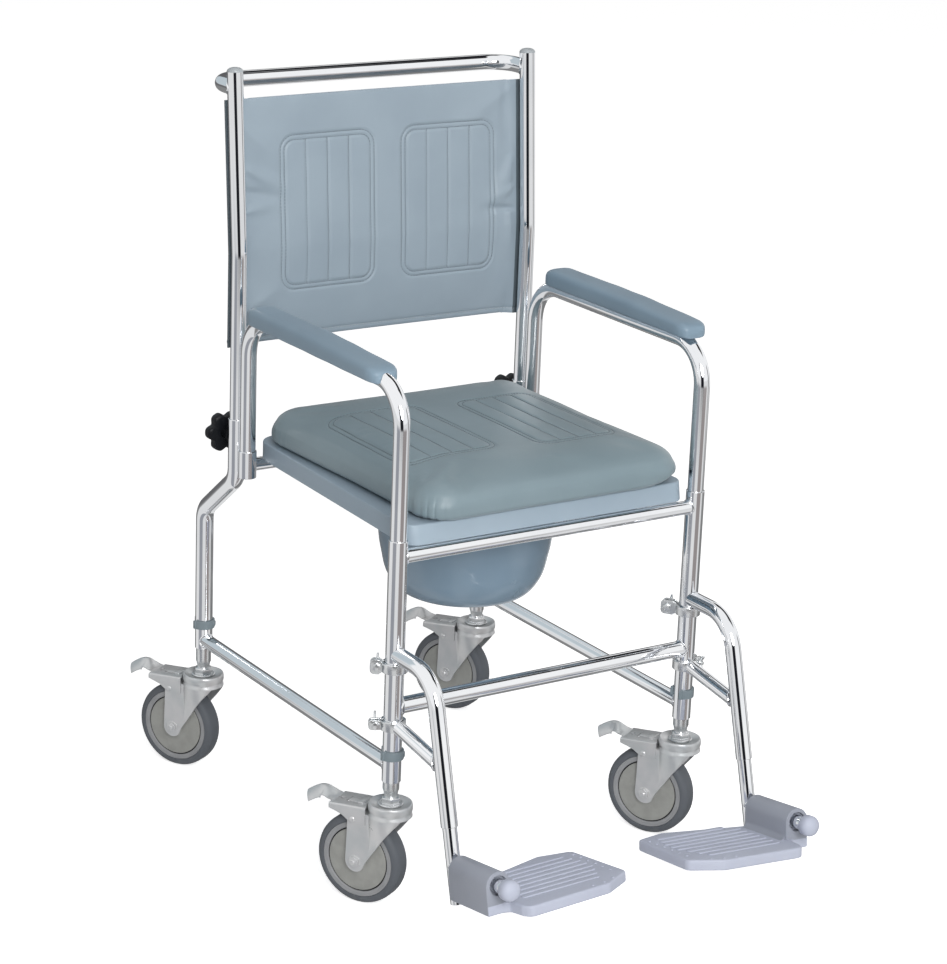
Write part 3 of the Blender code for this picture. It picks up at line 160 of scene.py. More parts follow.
def makeWorld():
    world = bpy.data.worlds.new("studio")
    bpy.context.scene.world = world
    world.use_nodes = True
    tree = world.node_tree
    tree.nodes.clear()
    direction = node(tree, "ShaderNodeTexCoord").outputs["Generated"]
    axes = node(tree, "ShaderNodeSeparateXYZ", {0: direction}).outputs
    azimuth = maths(tree, "ARCTAN2", axes["X"], maths(tree, "MULTIPLY", axes["Y"], -1.0))
    elevation = maths(tree, "ARCSINE", axes["Z"])
    soft = studio["soft"]
    color = ramp(tree, elevation, -0.03, 0.03, studio["below"], studio["above"])
    for centre, half, low, high, tone in cards.values():
        near = maths(tree, "COSINE", maths(tree, "SUBTRACT", azimuth, math.radians(centre)))
        inside = ramp(tree, near, math.cos(math.radians(half + soft)), math.cos(math.radians(half - soft)))
        over = ramp(tree, elevation, math.radians(low - soft), math.radians(low + soft))
        under = ramp(tree, elevation, math.radians(high + soft), math.radians(high - soft))
        mask = maths(tree, "MULTIPLY", inside, maths(tree, "MULTIPLY", over, under))
        color = blended(tree, mask, color, (*tone, 1))
    path = node(tree, "ShaderNodeLightPath").outputs
    mirrored = node(tree, "ShaderNodeBackground", {"Color": color, "Strength": 1.0})
    plain = node(tree, "ShaderNodeBackground", {"Color": (1, 1, 1, 1), "Strength": studio["ambient"]})
    seen = node(tree, "ShaderNodeBackground", {"Color": (1, 1, 1, 1), "Strength": 1.0})
    shiny = maths(tree, "MAXIMUM", path["Is Glossy Ray"], path["Is Transmission Ray"])
    lit = node(tree, "ShaderNodeMixShader", {0: shiny, 1: plain.outputs[0], 2: mirrored.outputs[0]})
    direct = path["Is Camera Ray"]
    mixed = node(tree, "ShaderNodeMixShader", {0: direct, 1: lit.outputs[0], 2: seen.outputs[0]})
    node(tree, "ShaderNodeOutputWorld", {0: mixed.outputs[0]})


def makeLamps():
    for name, lamp in lamps.items():
        light = bpy.data.lights.new(name, "AREA")
        light.shape = "DISK"
        light.size = lamp["size"]
        light.energy = lamp["power"]
        made = bpy.data.objects.new(name, light)
        made.location = Vector(lamp["place"])
        aim = Vector((0, 0, studio["aimHeight"])) - made.location
        made.rotation_euler = aim.to_track_quat("-Z", "Y").to_euler()
        made.visible_glossy = lamp["mirrored"]
        bpy.context.scene.collection.objects.link(made)


def makeFloor():
    half = studio["floorHalf"]
    mesh = bpy.data.meshes.new("studioFloor")
    corners = [(-half, -half, 0), (half, -half, 0), (half, half, 0), (-half, half, 0)]
    mesh.from_pydata(corners, [], [(0, 1, 2, 3)])
    floor = bpy.data.objects.new("studioFloor", mesh)
    floor.location.z = -studio["floorGap"]
    floor.visible_glossy = False  # the world's lower cards stand for it there
    bpy.context.scene.collection.objects.link(floor)
    material = bpy.data.materials.new("studioFloor")
    material.use_nodes = True
    tree = material.node_tree
    tree.nodes.clear()
    body = node(tree, "ShaderNodeBsdfDiffuse", {"Color": (*studio["floorColor"], 1)})
    glow = node(tree, "ShaderNodeEmission", {"Color": (1, 1, 1, 1), "Strength": studio["floorGlow"]})
    lit = node(tree, "ShaderNodeAddShader", {0: body.outputs[0], 1: glow.outputs[0]})
    path = node(tree, "ShaderNodeLightPath").outputs
    direct = path["Is Camera Ray"]
    mixed = node(tree, "ShaderNodeMixShader", {0: direct, 1: body.outputs[0], 2: lit.outputs[0]})
    node(tree, "ShaderNodeOutputMaterial", {0: mixed.outputs[0]})
    mesh.materials.append(material)


makeWorld()
makeLamps()
makeFloor()
print("camera and studio made")

# Effects that several materials share


def newGroup(name, inputs, outputs):
    group = bpy.data.node_groups.new(name, "ShaderNodeTree")
    for title, kind, value in inputs:
        socket = group.interface.new_socket(title, in_out="INPUT", socket_type=kind)
        if value is not None:
            socket.default_value = value
    for title, kind in outputs:
        group.interface.new_socket(title, in_out="OUTPUT", socket_type=kind)
    return group, node(group, "NodeGroupInput").outputs


def cloudNoise(group, place, scale, detail):
    made = node(group, "ShaderNodeTexNoise", {"Vector": place, "Scale": scale, "Detail": detail})
    return made.outputs[0]


def makeLeatherGrain():
    group, given = newGroup(
        "leatherGrain",
        [("Scale", "NodeSocketFloat", 900.0), ("Softness", "NodeSocketFloat", 0.5)],
        [("Height", "NodeSocketFloat"), ("Mask", "NodeSocketFloat")],
    )
    place = node(group, "ShaderNodeTexCoord").outputs["Object"]
    cells = node(
        group, "ShaderNodeTexVoronoi",
        {"Vector": place, "Scale": given["Scale"], "Smoothness": given["Softness"]}, feature="SMOOTH_F1",
    )
    cloud = cloudNoise(group, place, 60.0, 4.0)
    height = maths(group, "ADD", cells.outputs["Distance"], maths(group, "MULTIPLY", cloud, 0.8))
    mask = ramp(group, cells.outputs["Distance"], 0.15, 0.7)
    node(group, "NodeGroupOutput", {"Height": height, "Mask": mask})
    return group


def makeMottle():
    group, given = newGroup(
        "mottle",
        [
            ("Color", "NodeSocketColor", (0.5, 0.5, 0.5, 1)),
            ("Tint", "NodeSocketColor", (0.4, 0.4, 0.4, 1)),
            ("Scale", "NodeSocketFloat", 8.0),
            ("Amount", "NodeSocketFloat", 0.5),
        ],
        [("Color", "NodeSocketColor"), ("Value", "NodeSocketFloat")],
    )
    place = node(group, "ShaderNodeTexCoord").outputs["Object"]
    value = ramp(group, cloudNoise(group, place, given["Scale"], 5.0), 0.30, 0.70)
    share = maths(group, "MULTIPLY", value, given["Amount"])
    color = blended(group, share, given["Color"], given["Tint"])
    node(group, "NodeGroupOutput", {"Color": color, "Value": value})
    return group


def makeHandling():
    group, given = newGroup(
        "handling",
        [
            ("Rough", "NodeSocketFloat", 0.3),
            ("Spread", "NodeSocketFloat", 0.1),
            ("Scale", "NodeSocketFloat", 20.0),
        ],
        [("Roughness", "NodeSocketFloat"), ("Height", "NodeSocketFloat")],
    )
    place = node(group, "ShaderNodeTexCoord").outputs["Object"]
    smudge = cloudNoise(group, place, given["Scale"], 6.0)
    fine = cloudNoise(group, place, 1400.0, 2.0)
    shift = maths(group, "MULTIPLY", maths(group, "SUBTRACT", smudge, 0.5), given["Spread"])
    height = maths(group, "ADD", fine, maths(group, "MULTIPLY", smudge, 0.5))
    node(group, "NodeGroupOutput", {
        "Roughness": maths(group, "ADD", given["Rough"], maths(group, "MULTIPLY", shift, 2.0), clamp=True),
        "Height": height,
    })
    return group


def makeFloorDust():
    group, given = newGroup(
        "floorDust",
        [("Reach", "NodeSocketFloat", 0.12), ("Amount", "NodeSocketFloat", 0.3)],
        [("Mask", "NodeSocketFloat")],
    )
    place = node(group, "ShaderNodeTexCoord").outputs["Object"]
    up = node(group, "ShaderNodeSeparateXYZ", {0: place}).outputs["Z"]
    low = maths(group, "SUBTRACT", 1.0, maths(group, "DIVIDE", up, given["Reach"]), clamp=True)
    spots = ramp(group, cloudNoise(group, place, 140.0, 6.0), 0.42, 0.68)
    mask = maths(group, "MULTIPLY", maths(group, "MULTIPLY", low, spots), given["Amount"])
    node(group, "NodeGroupOutput", {"Mask": mask})
    return group


leatherGrain = makeLeatherGrain()
mottle = makeMottle()
handling = makeHandling()
floorDust = makeFloorDust()

# Finishes: color is the body colour, tint where it drifts to
finishes = {
    "chrome": {
        "color": (0.88, 0.89, 0.905), "tint": (0.82, 0.835, 0.86),
        "metal": 1.0, "rough": 0.05, "spread": 0.05, "bump": 0.015, "slot": "chrome_tube",
    },
    "zinc": {
        "color": (0.62, 0.62, 0.625), "tint": (0.52, 0.545, 0.555),
        "metal": 0.5, "rough": 0.33, "spread": 0.12, "bump": 0.05, "slot": "zinc_steel",
        "mottleScale": 30.0,
    },
    "clampPlate": {
        "color": (0.80, 0.81, 0.82), "tint": (0.66, 0.68, 0.69),
        "metal": 1.0, "rough": 0.26, "spread": 0.12, "bump": 0.05, "slot": "zinc_steel",
        "mottleScale": 40.0,
    },
    "backVinyl": {
        "color": (0.290, 0.356, 0.412), "tint": (0.262, 0.325, 0.381),
        "rough": 0.46, "spread": 0.10, "grain": 1100.0, "bump": 0.16, "sheen": 0.15, "slot": "back_vinyl",
    },
    "seatVinyl": {
        "color": (0.200, 0.266, 0.297), "tint": (0.175, 0.238, 0.267),
        "rough": 0.38, "spread": 0.12, "grain": 950.0, "bump": 0.18, "sheen": 0.12, "slot": "seat_vinyl",
    },
    "armVinyl": {
        "color": (0.210, 0.295, 0.368), "tint": (0.184, 0.262, 0.332),
        "rough": 0.44, "spread": 0.10, "grain": 1000.0, "bump": 0.14, "sheen": 0.10, "slot": "arm_vinyl",
    },
    "seatPlastic": {
        "color": (0.314, 0.390, 0.456), "tint": (0.285, 0.359, 0.426),
        "rough": 0.40, "spread": 0.10, "bump": 0.08, "slot": "seat_plastic",
    },
    "panPlastic": {
        "color": (0.197, 0.279, 0.355), "tint": (0.172, 0.249, 0.321),
        "rough": 0.24, "spread": 0.10, "bump": 0.05, "coat": 0.25, "slot": "pan_plastic",
    },
    # The footplate's plastic in lit and shaded copies: this darker one for the housing, painted shade on its
    # sides, and the next, lighter one for the tread, painted light on its top
    "footPlastic": {
        "color": (0.315, 0.335, 0.39), "tint": (0.28, 0.30, 0.35),
        "rough": 0.50, "spread": 0.12, "bump": 0.14, "slot": "foot_plastic",
    },
    "paintedLitFootPlastic": {
        "color": (0.465, 0.495, 0.59), "tint": (0.425, 0.45, 0.545),
        "rough": 0.55, "spread": 0.12, "bump": 0.16, "slot": "foot_plastic",
    },
    "clipPlastic": {
        "color": (0.200, 0.246, 0.270), "tint": (0.172, 0.214, 0.238),
        "rough": 0.45, "spread": 0.10, "bump": 0.08, "slot": "clip_plastic",
    },
    "knobPlastic": {
        "color": (0.005, 0.006, 0.008), "tint": (0.010, 0.011, 0.013),
        "rough": 0.36, "spread": 0.16, "bump": 0.10, "slot": "knob_plastic", "specular": 0.18,
    },
    "capPlastic": {
        "color": (0.40, 0.43, 0.45), "tint": (0.34, 0.37, 0.39),
        "rough": 0.34, "spread": 0.10, "bump": 0.05, "slot": "clip_plastic",
    },
    "tyreRubber": {
        "color": (0.092, 0.101, 0.114), "tint": (0.112, 0.122, 0.138),
        "rough": 0.55, "spread": 0.14, "bump": 0.12, "slot": "tyre_rubber", "specular": 0.30, "dust": 0.12,
        "dustReach": 0.02,
    },
    "rimPlastic": {
        "color": (0.29, 0.295, 0.305), "tint": (0.245, 0.25, 0.26),
        "rough": 0.42, "spread": 0.10, "bump": 0.06, "slot": "hub_plastic", "mottleScale": 45.0,
    },
    "hubPlastic": {
        "color": (0.315, 0.318, 0.300), "tint": (0.265, 0.268, 0.252),
        "rough": 0.40, "spread": 0.10, "bump": 0.06, "slot": "hub_plastic", "mottleScale": 60.0,
    },
    "thread": {
        "color": (0.135, 0.165, 0.185), "tint": (0.19, 0.225, 0.25),
        "rough": 0.7, "spread": 0.1, "bump": 0.2, "slot": "back_vinyl",
    },
    "hemThread": {
        "color": (0.42, 0.47, 0.50), "tint": (0.36, 0.41, 0.44),
        "rough": 0.7, "spread": 0.1, "bump": 0.2, "slot": "back_vinyl",
    },
    "seatThread": {
        "color": (0.125, 0.15, 0.162), "tint": (0.17, 0.20, 0.22),
        "rough": 0.7, "spread": 0.1, "bump": 0.2, "slot": "seat_vinyl",
    },
}
# A darker copy of the back vinyl: painted shade for the sleeve outside the posts, and a painted shadow beside
# the right post
finishes["sleeveVinyl"] = {
    **finishes["backVinyl"],
    "color": (0.085, 0.110, 0.128), "tint": (0.060, 0.078, 0.092),
}
dustColor = (0.42, 0.41, 0.39)
common = {"mottleScale": 9.0, "mottleAmount": 0.9, "bumpDistance": 0.0006}  # what every finish shares


def makeMaterial(name, look):
    material = bpy.data.materials.new(name)
    material.use_nodes = True
    tree = material.node_tree
    shader = tree.nodes["Principled BSDF"]
    drift = node(tree, "ShaderNodeGroup", node_tree=mottle)
    drift.inputs["Color"].default_value = (*look["color"], 1)
    drift.inputs["Tint"].default_value = (*look["tint"], 1)
    drift.inputs["Scale"].default_value = look.get("mottleScale", common["mottleScale"])
    drift.inputs["Amount"].default_value = common["mottleAmount"]
    color = drift.outputs["Color"]
    if "dust" in look:
        dust = node(tree, "ShaderNodeGroup", node_tree=floorDust)
        dust.inputs["Amount"].default_value = look["dust"]
        dust.inputs["Reach"].default_value = look["dustReach"]
        color = blended(tree, dust.outputs["Mask"], color, (*dustColor, 1))
    tree.links.new(color, shader.inputs["Base Color"])
    touch = node(tree, "ShaderNodeGroup", node_tree=handling)
    touch.inputs["Rough"].default_value = look["rough"]
    touch.inputs["Spread"].default_value = look["spread"]
    tree.links.new(touch.outputs["Roughness"], shader.inputs["Roughness"])
    height = touch.outputs["Height"]
    if "grain" in look:
        grain = node(tree, "ShaderNodeGroup", node_tree=leatherGrain)
        grain.inputs["Scale"].default_value = look["grain"]
        height = grain.outputs["Height"]
    bump = node(
        tree, "ShaderNodeBump",
        {"Height": height, "Strength": look["bump"], "Distance": common["bumpDistance"]},
    )
    tree.links.new(bump.outputs["Normal"], shader.inputs["Normal"])
    shader.inputs["Metallic"].default_value = look.get("metal", 0.0)
    shader.inputs["Specular IOR Level"].default_value = look.get("specular", 0.5)
    shader.inputs["Sheen Weight"].default_value = look.get("sheen", 0.0)
    shader.inputs["Coat Weight"].default_value = look.get("coat", 0.0)
    return material


materials = {name: makeMaterial(name, look) for name, look in finishes.items()}
print("materials made:", len(materials))

# Shapes that many pieces use


def meshFrom(shape, name, angle=32):
    bmesh.ops.recalc_face_normals(shape, faces=shape.faces)
    mesh = bpy.data.meshes.new(name)
    shape.to_mesh(mesh)
    shape.free()
    mesh.shade_smooth()
    mesh.set_sharp_from_angle(angle=math.radians(angle))
    return mesh


def addPiece(name, mesh, finish, body, replaced=(), place=None):
    mesh = mesh.copy()
    if not mesh.materials:
        mesh.materials.append(materials[finish])
    mesh.transform(Matrix.Translation(chairOrigin) @ (place or Matrix.Identity(4)))
    piece = bpy.data.objects.new(name, mesh)
    bpy.context.scene.collection.objects.link(piece)
    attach(piece, body)
    if replaced:
        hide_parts(*replaced)
    return piece


def roundedPath(corners, radius, steps):
    corners = [Vector(corner) for corner in corners]
    points = [corners[0]]
    for before, corner, after in zip(corners, corners[1:], corners[2:]):
        back = (before - corner).normalized()
        ahead = (after - corner).normalized()
        turn = math.pi - back.angle(ahead)
        centre = corner + (back + ahead).normalized() * radius / math.cos(turn / 2)
        arm = corner + back * radius * math.tan(turn / 2) - centre
        axis = ahead.cross(back)
        points += [centre + Matrix.Rotation(turn * step / steps, 3, axis) @ arm for step in range(steps + 1)]
    points.append(corners[-1])
    return points


def roundedOutline(corners, radius, steps):
    radii = radius if isinstance(radius, (list, tuple)) else [radius] * len(corners)
    points = []
    for index, corner in enumerate(corners):
        if radii[index] == 0:
            points.append(tuple(corner))
            continue
        before = Vector((*corners[index - 1], 0))
        after = Vector((*corners[(index + 1) % len(corners)], 0))
        arc = roundedPath([before, Vector((*corner, 0)), after], radii[index], steps)[1:-1]
        points += [(point.x, point.y) for point in arc]
    return points


def ringFrames(points, closed=False):
    count = len(points)
    tangents = []
    for index in range(count):
        before = points[index - 1] if index or closed else points[0]
        after = points[(index + 1) % count] if index < count - 1 or closed else points[-1]
        tangents.append((after - before).normalized())
    across = tangents[0].orthogonal().normalized()
    frames = []
    for index, tangent in enumerate(tangents):
        if index:
            across = tangents[index - 1].rotation_difference(tangent) @ across
        across = (across - tangent * across.dot(tangent)).normalized()
        frames.append((points[index], across, tangent.cross(across), tangent))
    return frames


def ringVerts(shape, frameAt, radius, count):
    point, across, up, _ = frameAt
    turns = [2 * math.pi * step / count for step in range(count)]
    offsets = [(across * math.cos(turn) + up * math.sin(turn)) * radius for turn in turns]
    return [shape.verts.new(point + offset) for offset in offsets]


def bridge(shape, first, second):
    count = len(first)
    for index in range(count):
        after = (index + 1) % count
        shape.faces.new((first[index], first[after], second[after], second[index]))


def loft(shape, rings, capped=True):
    for first, second in zip(rings, rings[1:]):
        bridge(shape, first, second)
    if capped:
        shape.faces.new(rings[0][::-1])
        shape.faces.new(rings[-1])


def gridFaces(shape, rows, flipped=False):
    for low, high in zip(rows, rows[1:]):
        for index in range(len(low) - 1):
            if flipped:
                shape.faces.new((low[index], high[index], high[index + 1], low[index + 1]))
            else:
                shape.faces.new((low[index], low[index + 1], high[index + 1], high[index]))


def gridRim(rows):
    # the loop round a grid of points
    return rows[0] + [row[-1] for row in rows[1:-1]] + rows[-1][::-1] + [row[0] for row in rows[-2:0:-1]]


def sweep(shape, points, radius, count=40, wall=0.0, lip=0.0004):
    # a tube with softened rims, open where it has a wall; returns its two end rings
    points = [Vector(point) for point in points]
    frames = ringFrames(points)
    inset = [(frames[0], 0.0), *((one, None) for one in frames), (frames[-1], 0.0)]
    rings = []
    for index, (one, edge) in enumerate(inset):
        point, across, up, tangent = one
        if index == 1:
            point = point + tangent * lip
        if index == len(inset) - 2:
            point = point - tangent * lip
        size = radius - lip if edge == 0.0 else radius
        rings.append(ringVerts(shape, (point, across, up, tangent), size, count))
    loft(shape, rings, capped=not wall)
    if wall:
        inner = [ringVerts(shape, one, radius - wall, count) for one in frames]
        for first, second in zip(inner, inner[1:]):
            bridge(shape, second, first)
        bridge(shape, inner[0], rings[0])
        bridge(shape, rings[-1], inner[-1])
    return rings[0], rings[-1]


def closedSweep(shape, points, radius, count=10, waver=0.0):
    frames = ringFrames([Vector(point) for point in points], closed=True)
    rings = []
    for one in frames:
        size = radius * (1 + waver * noise.noise(one[0] * weld["waverScale"]))
        rings.append(ringVerts(shape, one, size, count))
    start = rings[0]
    last = rings[-1]
    offset = min(range(count), key=lambda step: (last[0].co - start[step].co).length)
    loft(shape, rings, capped=False)
    bridge(shape, last, start[offset:] + start[:offset])


weld = {"radius": 0.0015, "waver": 0.35, "waverScale": 900, "steps": 56}


def weldBead(shape, centre, along, legRadius, tubeRadius, legAxis=(0, 0, 1)):
    # the bead where a tube that leaves the point centre along a direction meets a leg
    legAxis = Vector(legAxis).normalized()
    along = Vector(along).normalized()
    across = legAxis.cross(along).normalized()
    flat = across.cross(legAxis)
    upright = along.cross(across)
    points = []
    for step in range(weld["steps"]):
        turn = 2 * math.pi * step / weld["steps"]
        offset = (across * math.cos(turn) + upright * math.sin(turn)) * tubeRadius
        side = min(abs(offset.dot(across)), legRadius)
        need = math.sqrt(legRadius**2 - side**2) - offset.dot(flat)
        points.append(Vector(centre) + offset + along * (need / along.dot(flat)))
    closedSweep(shape, points, weld["radius"], waver=weld["waver"])


def lathe(shape, profile, steps=48, place=None, closed=False):
    # turns (radius, height) points about Z, or about place's Z
    place = place or Matrix.Identity(4)
    rings = []
    for radius, height in profile:
        if radius < 1e-6:
            rings.append([shape.verts.new(place @ Vector((0, 0, height)))])
            continue
        turns = [2 * math.pi * step / steps for step in range(steps)]
        rings.append([
            shape.verts.new(place @ Vector((radius * math.cos(turn), radius * math.sin(turn), height)))
            for turn in turns
        ])
    pairs = list(zip(rings, rings[1:]))
    if closed:
        pairs.append((rings[-1], rings[0]))
    for first, second in pairs:
        if len(first) == 1 and len(second) == 1:
            continue
        for index in range(steps):
            after = (index + 1) % steps
            if len(first) == 1:
                shape.faces.new((first[0], second[index], second[after]))
            elif len(second) == 1:
                shape.faces.new((first[index], second[0], first[after]))
            else:
                shape.faces.new((first[index], second[index], second[after], first[after]))


faceAlong = {
    "Z": Matrix.Identity(4),
    "Y": Matrix.Rotation(math.pi / 2, 4, "X"),
    "X": Matrix(((0, 0, 1, 0), (1, 0, 0, 0), (0, 1, 0, 0), (0, 0, 0, 1))),
}


def evaluated(obj):
    bpy.context.view_layer.update()
    graph = bpy.context.evaluated_depsgraph_get()
    return bpy.data.meshes.new_from_object(obj.evaluated_get(graph), depsgraph=graph)


def slab(outline, thickness, axis="Z", holes=(), rounding=0.0005, steps=2, place=None):
    # a flat outline with a thickness and softened edges, centred on 0 along its axis
    curve = bpy.data.curves.new("slab", "CURVE")
    curve.dimensions = "2D"
    curve.fill_mode = "BOTH"
    curve.extrude = thickness / 2 - rounding
    curve.bevel_depth = rounding
    curve.bevel_resolution = steps
    curve.offset = -rounding
    for points in (outline, *holes):
        spline = curve.splines.new("POLY")
        spline.points.add(len(points) - 1)
        spline.use_cyclic_u = True
        for spot, (across, up) in zip(spline.points, points):
            spot.co = (across, up, 0, 1)
    holder = bpy.data.objects.new("slab", curve)
    bpy.context.scene.collection.objects.link(holder)
    mesh = evaluated(holder)
    bpy.data.objects.remove(holder, do_unlink=True)
    mesh.transform((place or Matrix.Identity(4)) @ faceAlong[axis])
    return mesh


def merge(shape, mesh, place=None):
    # adds a mesh to the shape and drops the mesh
    if place is not None:
        mesh.transform(place)
    before = set(shape.verts)
    shape.from_mesh(mesh)
    fresh = [vert for vert in shape.verts if vert not in before]
    bmesh.ops.remove_doubles(shape, verts=fresh, dist=1e-6)
    bpy.data.meshes.remove(mesh)


def shaped(base, cutters):
    # a mesh with others cut out of it
    holder = bpy.data.objects.new("shaped", base)
    bpy.context.scene.collection.objects.link(holder)
    tools = []
    for cutter in cutters:
        tool = bpy.data.objects.new("tool", cutter)
        bpy.context.scene.collection.objects.link(tool)
        modifier = holder.modifiers.new("shaped", "BOOLEAN")
        modifier.operation = "DIFFERENCE"
        modifier.object = tool
        tools.append(tool)
    mesh = evaluated(holder)
    for made in (holder, *tools):
        bpy.data.objects.remove(made, do_unlink=True)
    return mesh


def shift(x=0.0, y=0.0, z=0.0):
    return Matrix.Translation((x, y, z))


def arcPoints(radius, start, end, steps, centre=(0, 0)):
    turns = [math.radians(start + (end - start) * step / steps) for step in range(steps + 1)]
    return [(centre[0] + radius * math.cos(turn), centre[1] + radius * math.sin(turn)) for turn in turns]


def boxCorners(lowX, lowY, highX, highY):
    return [(lowX, lowY), (highX, lowY), (highX, highY), (lowX, highY)]


def smoothRun(points, steps):
    # a smooth curve through every point
    fine = []
    for index, point in enumerate(points[:-1]):
        before = points[max(0, index - 1)]
        after = points[index + 1]
        beyond = points[min(len(points) - 1, index + 2)]
        for step in range(steps):
            t = step / steps
            fine.append(tuple(
                0.5 * (
                    2 * b + (c - a) * t
                    + (2 * a - 5 * b + 4 * c - d) * t**2
                    + (3 * b - a - 3 * c + d) * t**3
                )
                for a, b, c, d in zip(before, point, after, beyond)
            ))
    return [*fine, tuple(points[-1])]


def hexNut(shape, place, radius, thickness):
    # a chamfered nut, or a bolt head, standing on place's XY plane
    nut = slab(arcPoints(radius, 0, 300, 5), thickness, rounding=thickness * 0.12)
    merge(shape, nut, place @ shift(z=thickness / 2))
    dome = [(0, thickness * 1.12), (radius * 0.5, thickness * 1.10), (radius * 0.78, thickness * 0.98)]
    lathe(shape, dome + [(radius * 0.78, thickness * 0.6)], 24, place)


# Frame
chair = {
    "legRadius": 0.0127,
    "wall": 0.0013,
    "plugRadius": 0.0111,
    "seatRailRadius": 0.0095,
    "sideRailRadius": 0.010,
    "railSink": 0.002,  # how far a rail's end runs into the leg's wall
    "rearLegY": 0.523,
    "postY": 0.430,
    "armRearY": 0.400,
    "frontLegBottom": 0.180,
    "rearLegBottom": 0.189,
    "sideRailZ": 0.2015,
    "crossTubeZ": 0.283,
    "seatRailZ": 0.488,
    "frontLegTop": 0.511,
    "rearMouth": 0.558,
    "crankLow": 0.3995,
    "crankHigh": 0.472,
    "crankBend": 0.032,
    "sleeveLow": 0.4814,
    "sleeveHigh": 0.5197,
    "knobZ": 0.530,
}


# The two seams that hold an arm's sleeve to the rear leg
sleeveSeam = {"apart": 0.0036, "start": 0.003, "pitch": 0.0016, "points": 21, "radius": 0.0034, "lip": 0.001}


def legPlaces():
    # each leg: its end, its name, and its place across and along
    for end, y in (("front", 0.0), ("rear", chair["rearLegY"])):
        for side, sign in sides.items():
            yield end, f"{end}_{side}", sign * halfTrack, y


def legTube(shape, points):
    sweep(shape, points, chair["legRadius"], 48, chair["wall"])


def makeLegs():
    for side, sign in sides.items():
        place = shift(x=sign * halfTrack)
        shape = bmesh.new()
        legTube(shape, [(0, 0, chair["frontLegBottom"]), (0, 0, chair["frontLegTop"])])
        mesh = meshFrom(shape, "frontLeg")
        addPiece(f"frontLeg_{side}", mesh, "chrome", "frame", [f"front_leg_{side}"], place)
        corners = [
            (0, chair["rearLegY"], chair["rearLegBottom"]),
            (0, chair["rearLegY"], chair["crankLow"]),
            (0, chair["postY"], chair["crankHigh"]),
            (0, chair["postY"], chair["rearMouth"]),
        ]
        shape = bmesh.new()
        legTube(shape, roundedPath(corners, chair["crankBend"], 14))
        low, high = chair["sleeveLow"], chair["sleeveHigh"]
        sleeveY = chair["armRearY"]
        legTube(shape, [(0, sleeveY, low), (0, sleeveY, high)])
        seamY = (sleeveY + chair["postY"]) / 2
        start, spacing = low + sleeveSeam["start"], sleeveSeam["pitch"]
        heights = [start + step * spacing for step in range(sleeveSeam["points"])]
        for across in (-1, 1):
            seam = [Vector((across * sleeveSeam["apart"], seamY, height)) for height in heights]
            sweep(shape, seam, sleeveSeam["radius"], 12, lip=sleeveSeam["lip"])
        mesh = meshFrom(shape, "rearLeg")
        addPiece(f"rearLeg_{side}", mesh, "chrome", "frame", [f"rear_leg_{side}"], place)


def makeRails():
    for side, sign in sides.items():
        shape = bmesh.new()
        height = chair["sideRailZ"]
        rear = chair["rearLegY"]
        radius = chair["sideRailRadius"]
        inset = chair["legRadius"] - chair["railSink"]
        sweep(shape, [(0, inset, height), (0, rear - inset, height)], radius, 40)
        weldBead(shape, (0, 0, height), (0, 1, 0), chair["legRadius"], radius)
        weldBead(shape, (0, rear, height), (0, -1, 0), chair["legRadius"], radius)
        addPiece(
            f"sideRail_{side}", meshFrom(shape, "sideRail"), "chrome", "frame", [f"side_rail_{side}"],
            shift(x=sign * halfTrack),
        )
    crossRails = {
        "frontSeatRail": ("front_seat_rail", chair["seatRailRadius"], 0.0, chair["seatRailZ"]),
        "rearSeatRail": ("rear_seat_rail", chair["seatRailRadius"], chair["postY"], chair["seatRailZ"]),
        "frontCrossTube": ("front_cross_tube", chair["plugRadius"], 0.0, chair["crossTubeZ"]),
    }
    for name, (replaced, radius, y, z) in crossRails.items():
        shape = bmesh.new()
        reach = halfTrack - chair["legRadius"] + chair["railSink"]
        sweep(shape, [(-reach, y, z), (reach, y, z)], radius, 40)
        for sign in sides.values():
            weldBead(shape, (sign * halfTrack, y, z), (-sign, 0, 0), chair["legRadius"], radius)
        addPiece(name, meshFrom(shape, name), "chrome", "frame", [replaced])


heightClip = {
    "inner": 0.0130,
    "wall": 0.0026,
    "height": 0.0125,
    "halfOpening": 40,
    "shoulder": 12,  # degrees before the opening where the outer wall ends
    "lip": 0.0018,
    "lipTurn": 6,
    "lipWidth": 0.25,
    "rounding": 0.0007,
    "button": [(0, 0.0018), (0.0030, 0.0016), (0.0042, 0.0008), (0.0045, 0), (0.0045, -0.001), (0, -0.001)],
    "buttonSink": 0.0004,
    "frontZ": 0.2180,
    "rearZ": 0.2265,
    "turns": {"front_left": -34, "front_right": 0, "rear_left": -34, "rear_right": 0},
}


def makeHeightClips():
    inner = heightClip["inner"]
    outer = inner + heightClip["wall"]
    opening = 180 - heightClip["halfOpening"]
    lip = outer + heightClip["lip"]
    tipTurn = math.radians(opening + heightClip["lipTurn"])
    lipTurns = (tipTurn - heightClip["lipWidth"], tipTurn)
    tip = [(lip * math.cos(turn), lip * math.sin(turn)) for turn in lipTurns]
    shoulder = opening - heightClip["shoulder"]
    outline = arcPoints(outer, -shoulder, shoulder, 40) + tip + arcPoints(inner, opening, -opening, 44)
    outline += [(x, -y) for x, y in reversed(tip)]
    shape = bmesh.new()
    merge(shape, slab(outline, heightClip["height"], rounding=heightClip["rounding"]))
    outward = shift(x=outer - heightClip["buttonSink"]) @ Matrix.Rotation(math.pi / 2, 4, "Y")
    lathe(shape, heightClip["button"], 28, outward)
    mesh = meshFrom(shape, "heightClip")
    for end, corner, x, y in legPlaces():
        turned = Matrix.Rotation(math.radians(heightClip["turns"][corner]), 4, "Z")
        turned = shift(x, y, heightClip[f"{end}Z"]) @ turned
        addPiece(f"heightClip_{corner}", mesh, "clipPlastic", "frame", [f"{corner}_height_clip"], turned)


panRail = {"cutFrom": 0.050, "cutTo": 0.004, "cutHeight": 0.4795}  # the first two along Y, the last along Z


